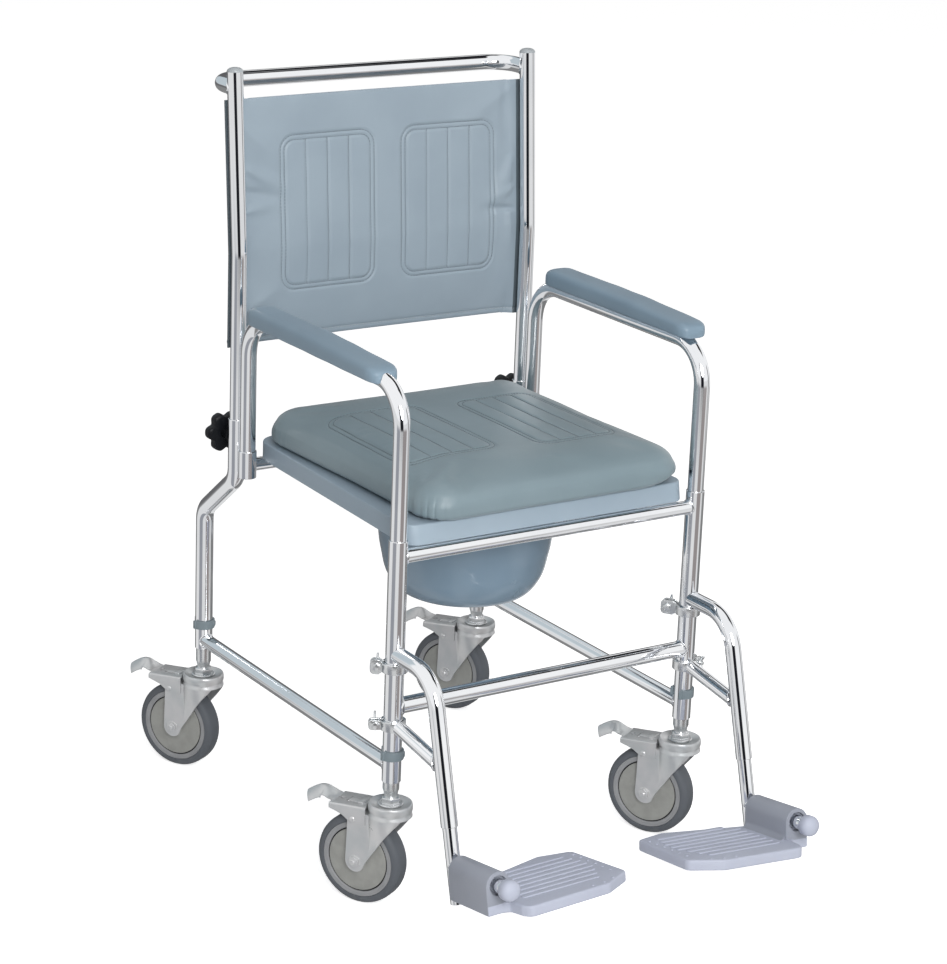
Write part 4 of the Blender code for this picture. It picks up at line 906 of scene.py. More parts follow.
def dressPanRails():
    # the solid's rail, its lower front corner cut back so that it stays behind the seat rail
    for side in sides:
        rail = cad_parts[f"pan_rail_{side}"]
        shape = bmesh.new()
        shape.from_mesh(rail.data)
        shape.transform(Matrix.Translation(-chairOrigin) @ rail.matrix_world)
        start = panRail["cutFrom"]
        parts = shape.verts[:] + shape.edges[:] + shape.faces[:]
        bmesh.ops.bisect_plane(shape, geom=parts, plane_co=(0, start, 0), plane_no=(0, 1, 0))
        low = min(vert.co.z for vert in shape.verts)
        high = max(vert.co.z for vert in shape.verts)
        for vert in shape.verts:
            share = min(1.0, max(0.0, (start - vert.co.y) / (start - panRail["cutTo"])))
            floor = low + (panRail["cutHeight"] - low) * share
            vert.co.z = floor + (vert.co.z - low) * (high - floor) / (high - low)
        for face in shape.faces:
            face.material_index = 0
        addPiece(f"panRail_{side}", meshFrom(shape, "panRail"), "zinc", "frame", [f"pan_rail_{side}"])


makeLegs()
makeRails()
makeHeightClips()
dressPanRails()
print("frame dressed")

# Back
back = {
    "leanZ": 0.790,
    "lean": 0.0795,
    "bend": 0.15,
    "postTop": 1.037,
    "postBottom": 0.500,
    "barZ": 1.0147,
    "barY": 0.510,
    "barBend": 0.036,
    "barSink": 0.002,
    "capRadius": 0.0113,
    # the cap's dome: share of its radius, height above the post's end
    "cap": [(0, 0.0056), (0.35, 0.0053), (0.62, 0.0045), (0.84, 0.0030), (0.96, 0.0014), (1.0, 0.0),
            (0.98, -0.0012), (0, -0.0012)],
}


def postY(z):
    return chair["postY"] + back["lean"] * max(0.0, z - back["leanZ"])


def makePosts():
    top = Vector((0, postY(back["postTop"]), back["postTop"]))
    corners = [(0, chair["postY"], back["postBottom"]), (0, chair["postY"], back["leanZ"]), top]
    path = roundedPath(corners, back["bend"], 8)
    tilt = Matrix.Translation(top) @ Matrix.Rotation(-math.atan(back["lean"]), 4, "X")
    for side, sign in sides.items():
        place = shift(x=sign * halfTrack)
        shape = bmesh.new()
        sweep(shape, path, chair["plugRadius"], 44)
        mesh = meshFrom(shape, "backPost")
        addPiece(f"backPost_{side}", mesh, "chrome", "back", [f"back_post_{side}"], place)
        shape = bmesh.new()
        lathe(shape, [(back["capRadius"] * share, height) for share, height in back["cap"]], 40, tilt)
        addPiece(f"postCap_{side}", meshFrom(shape, "postCap"), "capPlastic", "back", (), place)


def makePushBar():
    z = back["barZ"]
    y = postY(z)
    corners = [(-halfTrack, y + back["barSink"], z), (-halfTrack, back["barY"], z)]
    corners += [(-x, *rest) for x, *rest in reversed(corners)]
    shape = bmesh.new()
    sweep(shape, roundedPath(corners, back["barBend"], 16), chair["plugRadius"], 44)
    for sign in sides.values():
        weldBead(shape, (sign * halfTrack, y, z), (0, 1, 0), chair["plugRadius"], chair["plugRadius"])
    addPiece("pushBar", meshFrom(shape, "pushBar"), "chrome", "back", ["push_bar"])


starKnob = {
    "radius": 0.0265,
    "lobe": 0.0032,
    "lobes": 6,
    "waist": 0.25,  # how much a lobe's flanks draw in, as a share of it
    "thickness": 0.015,
    "neckRadius": 0.0095,
    "neck": 0.016,
    "collar": 0.001,
    "gap": 0.0003,
    "steps": 144,
    "boss": [(0.0125, 0.0), (0.0115, 0.0012), (0.0105, 0.0016), (0.0075, 0.0008), (0, 0.0006)],
}


def makeStarKnobs():
    face = chair["legRadius"] + starKnob["gap"]
    start = face + starKnob["neck"]
    thickness = starKnob["thickness"]
    count, lobes = starKnob["steps"], starKnob["lobes"]
    # share of the outline, height
    layers = [(0.80, 0.0), (0.93, 0.0006), (0.985, 0.0022), (1.0, 0.005), (1.0, thickness - 0.005),
              (0.985, thickness - 0.0024), (0.93, thickness - 0.0008), (0.82, thickness - 0.0001)]
    shape = bmesh.new()
    rings = []
    for share, height in layers:
        ring = []
        for step in range(count):
            turn = 2 * math.pi * step / count
            wave = math.cos(lobes * turn) - starKnob["waist"] * math.cos(2 * lobes * turn)
            radius = (starKnob["radius"] + starKnob["lobe"] * wave) * share
            ring.append(shape.verts.new((radius * math.cos(turn), start + height, radius * math.sin(turn))))
        rings.append(ring)
    loft(shape, rings)
    outward = Matrix.Rotation(-math.pi / 2, 4, "X")  # its Z becomes +Y
    narrow = starKnob["neckRadius"]
    wide = narrow + starKnob["collar"]
    neckEnd = starKnob["neck"] + 0.001
    neck = [(0, 0.0), (wide, 0.0), (wide, 0.004), (narrow, 0.006), (narrow, neckEnd), (0, neckEnd)]
    lathe(shape, neck, 36, shift(y=face) @ outward)
    lathe(shape, starKnob["boss"], 36, shift(y=start + thickness - 0.0002) @ outward)
    mesh = meshFrom(shape, "starKnob", 40)
    for side, sign in sides.items():
        place = shift(sign * halfTrack, chair["postY"], chair["knobZ"])
        addPiece(f"starKnob_{side}", mesh, "knobPlastic", f"star_knob_{side}", [f"star_knob_{side}"], place)


makePosts()
makePushBar()
makeStarKnobs()
print("back frame dressed")

# Stitched panels, which the back and the cushion share: a doubled frame with rounded corners, and upright
# lines in it. A panel is its middle and its half sizes
panelSewing = {
    "corner": 0.022,
    "frameGap": 0.0065,
    "grooveHalf": 0.0020,
    "reach": 0.006,  # how far outside its frame a panel presses in
    "lines": 3,
    "lineDepth": 0.85,
    "puff": 0.0008,
}


def boxDistance(a, b, centreA, centreB, halfA, halfB, corner):
    # how far (a, b) lies from a rounded rectangle's edge, negative inside
    outA = abs(a - centreA) - (halfA - corner)
    outB = abs(b - centreB) - (halfB - corner)
    outside = math.hypot(max(outA, 0.0), max(outB, 0.0))
    return outside + min(max(outA, outB), 0.0) - corner


def grooveShape(distance):
    share = abs(distance) / panelSewing["grooveHalf"]
    if share >= 2.2:
        return 0.0
    return math.exp(-share * share * 1.3)


def sewnDepth(a, b, panels):
    # how far the sewing presses in at (a, b), as a share of its full depth, and how far the panel puffs out
    pressed, puffed = 0.0, 0.0
    for centreA, centreB, halfA, halfB in panels:
        edge = boxDistance(a, b, centreA, centreB, halfA, halfB, panelSewing["corner"])
        if edge > panelSewing["reach"]:
            continue
        gap, lines = panelSewing["frameGap"], panelSewing["lines"]
        pressed = max(pressed, grooveShape(edge), grooveShape(edge + gap))
        if edge < -gap:
            inner = 2 * (halfA - gap)
            place = (a - (centreA - halfA + gap)) / inner * (lines + 1)
            nearest = round(place)
            if 0 < nearest <= lines:
                offLine = (place - nearest) * inner / (lines + 1)
                pressed = max(pressed, panelSewing["lineDepth"] * grooveShape(offLine))
            puffed = max(puffed, abs(math.sin(math.pi * place)) ** 0.6)
    return pressed, puffed


def sewnPath(centreA, centreB, halfA, halfB, corner):
    corners = boxCorners(centreA - halfA, centreB - halfB, centreA + halfA, centreB + halfB)
    outline = roundedOutline(corners, corner, 8)
    return outline + [outline[0]]


def sewnPaths(panels):
    # every line of stitches, as points (a, b)
    paths = []
    gap = panelSewing["frameGap"]
    for centreA, centreB, halfA, halfB in panels:
        paths.append(sewnPath(centreA, centreB, halfA, halfB, panelSewing["corner"]))
        paths.append(sewnPath(centreA, centreB, halfA - gap, halfB - gap, panelSewing["corner"] - gap))
        inner = halfA - gap
        for index in range(1, panelSewing["lines"] + 1):
            a = centreA - inner + 2 * inner * index / (panelSewing["lines"] + 1)
            paths.append([(a, centreB - halfB + gap), (a, centreB + halfB - gap)])
    return paths


stitch = {"pitch": 0.0046, "length": 0.0031, "radius": 0.00045}


def makeStitches(name, paths, surface, finish, body):
    # short thread runs along the paths; surface(a, b) gives a point and the outward normal there
    shape = bmesh.new()
    for path in paths:
        points = [Vector(point) for point in path]
        lengths = [(second - first).length for first, second in zip(points, points[1:])]
        total = sum(lengths)
        count = max(1, int(total / stitch["pitch"]))
        for index in range(count):
            ends = []
            for offset in (-0.5, 0.5):
                want = (index + 0.5) * total / count + offset * stitch["length"]
                want = min(max(want, 0.0), total)
                run = 0
                while run < len(lengths) - 1 and want > lengths[run]:
                    want -= lengths[run]
                    run += 1
                spot = points[run].lerp(points[run + 1], min(1.0, want / max(lengths[run], 1e-9)))
                ends.append(surface(spot.x, spot.y))
            (start, normal), (end, _) = ends
            lift = normal * stitch["radius"] * 0.5
            crest = (start + end) / 2 + normal * stitch["radius"] * 1.1
            sunk = normal * stitch["radius"] * 1.2
            thread = [start - sunk, start + lift, crest, end + lift, end - sunk]
            loft(shape, [ringVerts(shape, one, stitch["radius"], 5) for one in ringFrames(thread)])
    return addPiece(name, meshFrom(shape, name, 60), finish, body)


# Back sling
sling = {
    "halfWidth": 0.2460,
    "bottom": 0.657,
    "top": 0.997,
    "thickness": 0.0056,
    "hem": 0.0036,
    "sag": 0.004,
    "panels": [(-0.0862, 0.8355, 0.0755, 0.107), (0.1102, 0.8355, 0.0770, 0.107)],
    "groove": 0.0018,
    "step": 0.0017,
    "curl": 0.0080,  # how far the lower edge curls back
    "curlRun": 0.085,
    # where the painted shadow strip beside the right post begins: past it the sling takes the darker vinyl
    "seam": 0.2246,
    "hemLine": 0.008,
    "hemDepth": 0.7,  # as a share of the groove
    "foldsTo": 0.213,  # the folds fade out beyond this
    "foldsFade": 0.012,
    "wrapFrom": 0.222,  # beyond this the sheet lies on the post
    "wrapGap": 0.0003,
    "edgeRun": 0.018,
    "lipRun": 0.0022,
    "padTo": 0.21,
    "ripples": [(0.0012, 9, 7, 3.1), (0.0004, 30, 26, 7.7)],  # height, how close along X and Z, seed
}


def slingSag(x, z):
    share = x / (halfTrack - chair["plugRadius"] * 0.4)
    hollow = sling["sag"] * max(0.0, 1 - share * share) ** 0.8
    return hollow * (0.85 + 0.15 * math.cos((z - 0.83) * 9))


def crease(x, z, startX, startZ, towardX, towardZ, length, width, height):
    # a soft ridge that leaves a point and fades out
    run = math.hypot(towardX, towardZ)
    alongX, alongZ = towardX / run, towardZ / run
    along = (x - startX) * alongX + (z - startZ) * alongZ
    across = -(x - startX) * alongZ + (z - startZ) * alongX
    if along < -0.01 or along > length:
        return 0.0
    fade = math.sin(math.pi * min(1.0, max(0.0, (along + 0.01) / (length + 0.01))) ** 0.7)
    spread = width * (0.5 + 0.9 * max(0.0, along) / length)
    return height * fade * math.exp(-((across / spread) ** 2))


# start, direction, length, width, height; + stands toward the sitter
slingCreases = [
    (0.204, 0.992, 0.05, -1.0, 0.135, 0.012, -0.0030),
    (0.214, 0.880, -0.35, -1.0, 0.075, 0.015, 0.0042),
    (0.222, 0.812, -1.0, 0.10, 0.062, 0.006, -0.0036),
    (0.212, 0.806, 0.05, -1.0, 0.070, 0.012, 0.0034),
    (0.190, 0.760, 0.10, -1.0, 0.080, 0.014, -0.0018),
    (0.222, 0.846, -1.0, -0.45, 0.060, 0.009, 0.0020),
    (-0.222, 0.905, 1.0, -0.55, 0.090, 0.010, 0.0034),
    (-0.222, 0.872, 1.0, -0.22, 0.070, 0.008, -0.0028),
    (-0.222, 0.843, 1.0, 0.15, 0.055, 0.009, 0.0024),
    (-0.222, 0.962, 1.0, -0.95, 0.100, 0.012, 0.0026),
    (-0.212, 0.800, 0.10, -1.0, 0.080, 0.010, -0.0016),
    (-0.222, 0.700, 1.0, 0.60, 0.080, 0.010, 0.0016),
    (0.215, 0.985, -1.0, -0.55, 0.110, 0.012, 0.0018),
]


def slingFront(x, z):
    # how far toward the rear the sling's front face lies at (x, z)
    y = postY(z) + chair["plugRadius"] + 0.0004 + slingSag(x, z)
    inner = 1 - min(1.0, max(0.0, (abs(x) - sling["foldsTo"]) / sling["foldsFade"]))
    folds = sum(crease(x, z, *one) for one in slingCreases)
    folds += sum(
        height * noise.noise(Vector((x * closeX, z * closeZ, seed)))
        for height, closeX, closeZ, seed in sling["ripples"]
    )
    pressed, puffed = sewnDepth(x, z, sling["panels"])
    hem = sling["hemDepth"] * grooveShape(z - sling["bottom"] - sling["hemLine"])
    y += sling["groove"] * max(pressed, hem) - panelSewing["puff"] * puffed - folds * inner
    y += sling["curl"] * inner * max(0.0, 1 - (z - sling["bottom"]) / sling["curlRun"]) ** 2
    if abs(x) > sling["wrapFrom"]:
        return max(y, postY(z) + chair["plugRadius"] + sling["wrapGap"])
    return y


def slingThickness(x, z):
    rim = min(sling["halfWidth"] - abs(x), z - sling["bottom"], sling["top"] - z)
    share = min(1.0, max(0.0, rim / sling["edgeRun"]))
    edge = min(1.0, max(0.0, rim / sling["lipRun"]))
    body = sling["hem"] + (sling["thickness"] - sling["hem"]) * math.sqrt(share * (2 - share))
    return body * (0.35 + 0.65 * math.sqrt(edge * (2 - edge)))


def stations(low, high, step):
    # even stations, with extra ones close to both ends
    count = int((high - low) / step)
    inner = [low + (high - low) * index / count for index in range(count + 1)]
    close = [0.0004, 0.0009]
    return [low, *(low + one for one in close), *inner[1:-1], *(high - one for one in reversed(close)), high]


def makeSling():
    across = stations(-sling["halfWidth"], sling["halfWidth"], sling["step"])
    up = stations(sling["bottom"], sling["top"], sling["step"])
    shape = bmesh.new()
    front, rear = [], []
    for z in up:
        frontRow, rearRow = [], []
        for x in across:
            y = slingFront(x, z)
            depth = slingThickness(x, z)
            pad = (sling["thickness"] - depth) * 0.5 if abs(x) < sling["padTo"] else 0.0
            frontRow.append(shape.verts.new((x, y + pad, z)))
            rearRow.append(shape.verts.new((x, y + pad + depth, z)))
        front.append(frontRow)
        rear.append(rearRow)
    gridFaces(shape, front)
    gridFaces(shape, rear, flipped=True)
    bridge(shape, gridRim(front), gridRim(rear))
    mesh = meshFrom(shape, "backSling", 60)
    mesh.materials.append(materials["backVinyl"])
    mesh.materials.append(materials["sleeveVinyl"])
    for face in mesh.polygons:  # painted shade on the sleeve outside the posts, and a painted shadow strip beside the right post
        x = face.center.x
        face.material_index = int(x < -halfTrack - 0.002 or x > sling["seam"])
    piece = addPiece("backSling", mesh, "backVinyl", "back", ["back_sling"])

    def surface(x, z):
        step = 0.0008
        y = slingFront(x, z)
        slopeX = (slingFront(x + step, z) - y) / step
        slopeZ = (slingFront(x, z + step) - y) / step
        return Vector((x, y, z)), Vector((slopeX, -1, slopeZ)).normalized()

    makeStitches("backStitches", sewnPaths(sling["panels"]), surface, "thread", "back")
    reach = halfTrack - chair["plugRadius"]
    z = sling["bottom"] + sling["hemLine"]
    hem = [(-reach + 2 * reach * index / 40, z) for index in range(41)]
    makeStitches("hemStitches", [hem], surface, "hemThread", "back")
    return piece


# Dome screws through the sling's hem into the back of each post
slingScrew = {
    "heights": (0.682, 0.827, 0.972),
    "sink": 0.0004,
    "dome": [(0, 0.0022), (0.0015, 0.0021), (0.0030, 0.0015), (0.0040, 0.0006), (0.0040, 0), (0, 0)],
    "washer": [(0.0062, 0.0), (0.0062, 0.0005), (0.0040, 0.0006)],
}


def makeSlingScrews():
    shape = bmesh.new()
    for sign in sides.values():
        for z in slingScrew["heights"]:
            x = sign * halfTrack
            y = slingFront(x, z) + slingThickness(x, z) - slingScrew["sink"]
            place = shift(x, y, z) @ Matrix.Rotation(-math.pi / 2, 4, "X")
            lathe(shape, slingScrew["dome"], 24, place)
            lathe(shape, slingScrew["washer"], 24, place)
    addPiece("slingScrews", meshFrom(shape, "slingScrews"), "zinc", "back")


slingPiece = makeSling()
makeSlingScrews()
print("sling sewn")

# Arms
arm = {"z": 0.7115, "bend": 0.055, "frontBottom": 0.450, "rearBottom": 0.4837}
armPad = {
    "front": {"left": 0.040, "right": 0.020},
    "seat": {"left": -0.0045, "right": 0.0070},  # above the tube's centre line
    "length": 0.337,
    "halfWidth": 0.0225,
    "height": 0.0265,
    "taper": 0.0055,
    "taperLength": 0.150,
    "nose": 0.020,  # the length over which an end rounds off
    "noseHalf": 0.50,
    "noseHeight": 0.60,
    "dent": 0.0005,
    "endScale": 0.6,
    "endBulge": 0.0012,
    "stations": 46,
    "points": 40,
}


def armPath(steps=14):
    corners = [(0, 0, arm["frontBottom"]), (0, 0, arm["z"]), (0, chair["armRearY"], arm["z"]),
               (0, chair["armRearY"], arm["rearBottom"])]
    return roundedPath(corners, arm["bend"], steps)


def padSection(ahead):
    # one section as (across, up) points, this far behind the front end, anticlockwise from its base's middle
    share = min(1.0, max(0.0, min(ahead, armPad["length"] - ahead) / armPad["nose"]))
    bulge = math.sqrt(share * (2 - share))
    half = armPad["halfWidth"] * (armPad["noseHalf"] + (1 - armPad["noseHalf"]) * bulge)
    taper = armPad["taper"] * max(0.0, 1 - ahead / armPad["taperLength"])
    height = (armPad["height"] - taper) * (armPad["noseHeight"] + (1 - armPad["noseHeight"]) * bulge)
    points = []
    count = armPad["points"]
    for step in range(count):
        turn = 2 * math.pi * step / count - math.pi / 2
        cosine, sine = math.cos(turn), math.sin(turn)
        across = half * math.copysign(abs(cosine) ** (0.36 if sine < 0 else 0.60), cosine)
        up = height / 2 * math.copysign(abs(sine) ** (0.66 if sine > 0 else 0.34), sine)
        points.append((across, height / 2 + up))
    return points


def makePadMesh(side):
    shape = bmesh.new()
    rings = []
    base = arm["z"] + armPad["seat"][side]
    for index in range(armPad["stations"] + 1):
        ahead = armPad["length"] * (0.5 - 0.5 * math.cos(math.pi * index / armPad["stations"]))
        y = armPad["front"][side] + ahead
        dent = armPad["dent"] * noise.noise(Vector((y * 30, 0.2, 5.5)))
        section = padSection(ahead)
        rings.append([shape.verts.new((a * (1 + dent * 20), y, base + b + dent)) for a, b in section])
    loft(shape, rings, capped=False)
    for ring, sign in ((rings[0], -1), (rings[-1], 1)):
        centre = sum((vert.co for vert in ring), Vector()) / len(ring)
        outward = Vector((0, sign * armPad["endBulge"], 0))
        spots = [centre + (vert.co - centre) * armPad["endScale"] + outward for vert in ring]
        inner = [shape.verts.new(spot) for spot in spots]
        bridge(shape, ring, inner)
        shape.faces.new(inner if sign > 0 else inner[::-1])
    return meshFrom(shape, "armPad", 50)


def makeArms():
    tubeShape = bmesh.new()
    sweep(tubeShape, armPath(), chair["plugRadius"], 44)
    tubeMesh = meshFrom(tubeShape, "armTube")
    for side, sign in sides.items():
        place = shift(x=sign * halfTrack)
        body = f"arm_{side}"
        addPiece(f"armTube_{side}", tubeMesh, "chrome", body, [f"arm_tube_{side}"], place)
        pad = addPiece(f"armPad_{side}", makePadMesh(side), "armVinyl", body, [f"arm_pad_{side}"], place)


makeArms()
print("arms dressed")

# Seat
seat = {
    "bottom": 0.4978,
    "thickness": 0.0267,
    "frontY": 0.005,
    "depth": 0.432,
    "frontHalf": 0.2215,
    "rearHalf": 0.203,
    "corner": (0.020, 0.020, 0.032, 0.032),
    "round": 0.0022,
    "flare": 0.0058,  # how far the front face runs forward toward its foot
    "flareRun": 0.040,
    "openingY": 0.205,
    "openingX": 0.105,
    "openingLength": 0.130,
    "openingSteps": 80,
}


def makeSeat():
    rear = seat["frontY"] + seat["depth"]
    corners = [(-seat["frontHalf"], seat["frontY"]), (seat["frontHalf"], seat["frontY"]),
               (seat["rearHalf"], rear), (-seat["rearHalf"], rear)]
    outline = roundedOutline(corners, seat["corner"], 12)
    turns = [2 * math.pi * step / seat["openingSteps"] for step in range(seat["openingSteps"])]
    opening = [
        (seat["openingX"] * math.cos(turn), seat["openingY"] + seat["openingLength"] * math.sin(turn))
        for turn in turns
    ]
    mesh = slab(outline, seat["thickness"], holes=[opening], rounding=seat["round"], steps=5,
                place=shift(z=seat["bottom"] + seat["thickness"] / 2))
    shape = bmesh.new()
    merge(shape, mesh)
    for vert in shape.verts:
        near = min(1.0, max(0.0, 1 - (vert.co.y - seat["frontY"]) / seat["flareRun"]))
        share = (vert.co.z - seat["bottom"]) / seat["thickness"]
        vert.co.y -= seat["flare"] * near * (1 - share)
    mesh = meshFrom(shape, "commodeSeat", 50)
    addPiece("commodeSeat", mesh, "seatPlastic", "commode_seat", ["commode_seat"])


pan = {
    "rimRadius": 0.140,
    "bodyRadius": 0.1225,
    "rimBottom": 0.4703,
    "rimHeight": 0.004,
    "depth": 0.136,
    "wall": 0.0022,
    "footLift": 0.0012,  # how far the bottom stands off inside its foot ring
}


def makePan():
    low = pan["rimBottom"]
    bottom = low + pan["rimHeight"] - pan["depth"]
    body = pan["bodyRadius"]
    wall = pan["wall"]
    outer = [(body, low - 0.015), (body - 0.003, low - 0.050), (body - 0.0065, low - 0.070),
             (body - 0.0145, low - 0.100), (body - 0.0325, bottom + 0.009), (body - 0.0625, bottom + 0.001)]
    fine = smoothRun(outer, 8)
    lift = pan["footLift"]
    foot = [(0.052, bottom + 0.0004), (0.0505, bottom), (0.0465, bottom), (0.045, bottom + lift),
            (0, bottom + lift)]
    inner = [(0, bottom + wall + lift)]
    inner += [(radius - wall, height + wall / 2) for radius, height in reversed(fine)]
    top = low + pan["rimHeight"]
    wide = pan["rimRadius"]
    rim = [(body - wall, low - 0.004), (body - wall + 0.0006, top - 0.0010), (body - wall + 0.002, top),
           (wide - 0.0014, top), (wide, top - 0.0012), (wide, low + 0.0008), (wide - 0.001, low),
           (body + 0.0020, low), (body + 0.0002, low - 0.0022)]
    shape = bmesh.new()
    lathe(shape, inner + rim + fine + foot, 96, shift(y=seat["openingY"]))
    addPiece("commodePan", meshFrom(shape, "pan", 45), "panPlastic", "pan", ["pan"])


makeSeat()
makePan()
print("seat and pan dressed")

# Seat cushion
cushion = {
    "base": 0.5248,
    "middleX": 0.008,
    "halfWidth": 0.2035,
    "front": -0.008,
    "depth": 0.431,
    "corner": 0.043,
    "edge": 0.030,
    "crown": 0.0275,
    "crownRun": 0.090,
    "drawIn": 0.004,
    "leftLean": (0.004, -0.004),  # where the left side stands, at the front and at the rear
    "cornerLift": 0.008,  # the right front corner stands off the seat
    "cornerReach": 0.045,
    "levels": 16,
    "belly": 0.0055,
    "undercut": 0.0095,
    "undercutFrom": 0.80,  # share of the way down the side
    "step": 0.0019,
    "groove": 0.0012,
    "pressure": 2.5,
    "voxel": 0.006,
    "cap": 0.005,
    "frames": 16,
    "shrink": 0.0025,
    "follow": 0.35,  # how closely the surface takes the cloth's shape
    "clothStep": 0.008,
    "pleats": 60,  # round the whole side; they show near the corners
    "pleatDepth": 0.0017,
}
cushionMiddle = cushion["front"] + cushion["depth"] / 2
cushionPanels = [(-0.0970, 0.2000, 0.072, 0.1110), (0.094, 0.1845, 0.0645, 0.112)]


def cushionShape(step, grow=0.0):
    # the closed form round its own middle: a crowned top grid, then rings down its drawn-in sides
    halfX = cushion["halfWidth"] + grow
    halfY = cushion["depth"] / 2 + grow
    corner = cushion["corner"]
    edgeZ = cushion["base"] + cushion["edge"]
    countX, countY = int(2 * halfX / step), int(2 * halfY / step)
    across = [-1 + 2 * index / countX for index in range(countX + 1)]
    along = [-1 + 2 * index / countY for index in range(countY + 1)]
    shape = bmesh.new()

    def topPoint(u, v):
        # points near a corner slide onto the corner's arc
        x, y = u * halfX, v * halfY
        overX, overY = abs(x) - (halfX - corner), abs(y) - (halfY - corner)
        near = min(halfX - abs(x), halfY - abs(y))
        if overX > 0 and overY > 0:
            reach = math.hypot(overX, overY)
            square = max(overX, overY)
            x = math.copysign(halfX - corner + overX * square / reach, x)
            y = math.copysign(halfY - corner + overY * square / reach, y)
            near = corner - square
        share = min(1.0, max(0.0, near / cushion["crownRun"]))
        rise = cushion["crown"] * math.sqrt(share * (2 - share))
        return Vector((x, y, edgeZ + rise + grow * 0.5))

    grid = [[shape.verts.new(topPoint(u, v)) for u in across] for v in along]
    gridFaces(shape, grid)
    rim = gridRim(grid)
    last = rim
    for index in range(1, cushion["levels"] + 1):
        share = index / cushion["levels"]
        height = cushion["base"] + cushion["edge"] * (1 - share) + grow * 0.5 * (1 - share)
        belly = cushion["belly"] * math.sin(math.pi * min(1.0, share * 1.04)) ** 0.7
        belly -= cushion["undercut"] * max(0.0, share - cushion["undercutFrom"]) / 0.20
        ring = []
        for vert in rim:
            flat = Vector((vert.co.x, vert.co.y, 0))
            between = 1 - min(abs(flat.x) / halfX, abs(flat.y) / halfY)
            draw = cushion["drawIn"] * between * math.sin(math.pi * share)
            moved = flat * (1 + (belly - draw) / flat.length)
            ring.append(shape.verts.new(moved + Vector((0, 0, height))))
        bridge(shape, last, ring)
        last = ring
    shape.faces.new(last)
    for vert in shape.verts:
        x, y, z = vert.co
        if x < 0:
            atFront, atRear = cushion["leftLean"]
            vert.co.x += (atFront + (atRear - atFront) * (y + halfY) / (2 * halfY)) * min(1.0, -x / halfX)
        offCorner = math.hypot(x - halfX, y + halfY)
        low = min(1.0, max(0.0, (edgeZ - z) / cushion["edge"]))
        vert.co.z += cushion["cornerLift"] * low * math.exp(-((offCorner / cushion["cornerReach"]) ** 2))
        vert.co += Vector((cushion["middleX"], cushionMiddle, 0))
    bmesh.ops.recalc_face_normals(shape, faces=shape.faces)
    return shape


def inflate(shape):
    # runs cloth with pressure on a remeshed copy and returns its surface as a tree for nearest points
    mesh = bpy.data.meshes.new("cushionCloth")
    shape.to_mesh(mesh)
    shape.free()
    cloth = bpy.data.objects.new("cushionCloth", mesh)
    bpy.context.scene.collection.objects.link(cloth)
    remesh = cloth.modifiers.new("remesh", "REMESH")
    remesh.mode = "VOXEL"
    remesh.voxel_size = cushion["voxel"]
    even = evaluated(cloth)
    cloth.modifiers.clear()
    cloth.data = even
    start = [vert.co.copy() for vert in even.vertices]
    pinned = cloth.vertex_groups.new(name="pinned")
    pinned.add([i for i, co in enumerate(start) if co.z < cushion["base"] + 0.004], 1.0, "REPLACE")
    modifier = cloth.modifiers.new("cloth", "CLOTH")
    settings = modifier.settings
    settings.quality = 6
    settings.mass = 0.4
    settings.tension_stiffness = 22
    settings.compression_stiffness = 22
    settings.shear_stiffness = 10
    settings.bending_stiffness = 4
    settings.use_pressure = True
    settings.uniform_pressure_force = cushion["pressure"]
    settings.effector_weights.gravity = 0
    settings.vertex_group_mass = "pinned"
    modifier.collision_settings.use_collision = False
    scene = bpy.context.scene
    for number in range(1, cushion["frames"] + 1):
        scene.frame_set(number)
    settled = evaluated(cloth)
    moved = []
    for before, vert in zip(start, settled.vertices):
        way = vert.co - before
        if way.length > cushion["cap"]:
            way = way.normalized() * cushion["cap"]
        moved.append(before + way)
    faces = [tuple(face.vertices) for face in settled.polygons]
    scene.frame_set(1)
    bpy.data.objects.remove(cloth, do_unlink=True)
    return BVHTree.FromPolygons(moved, faces)


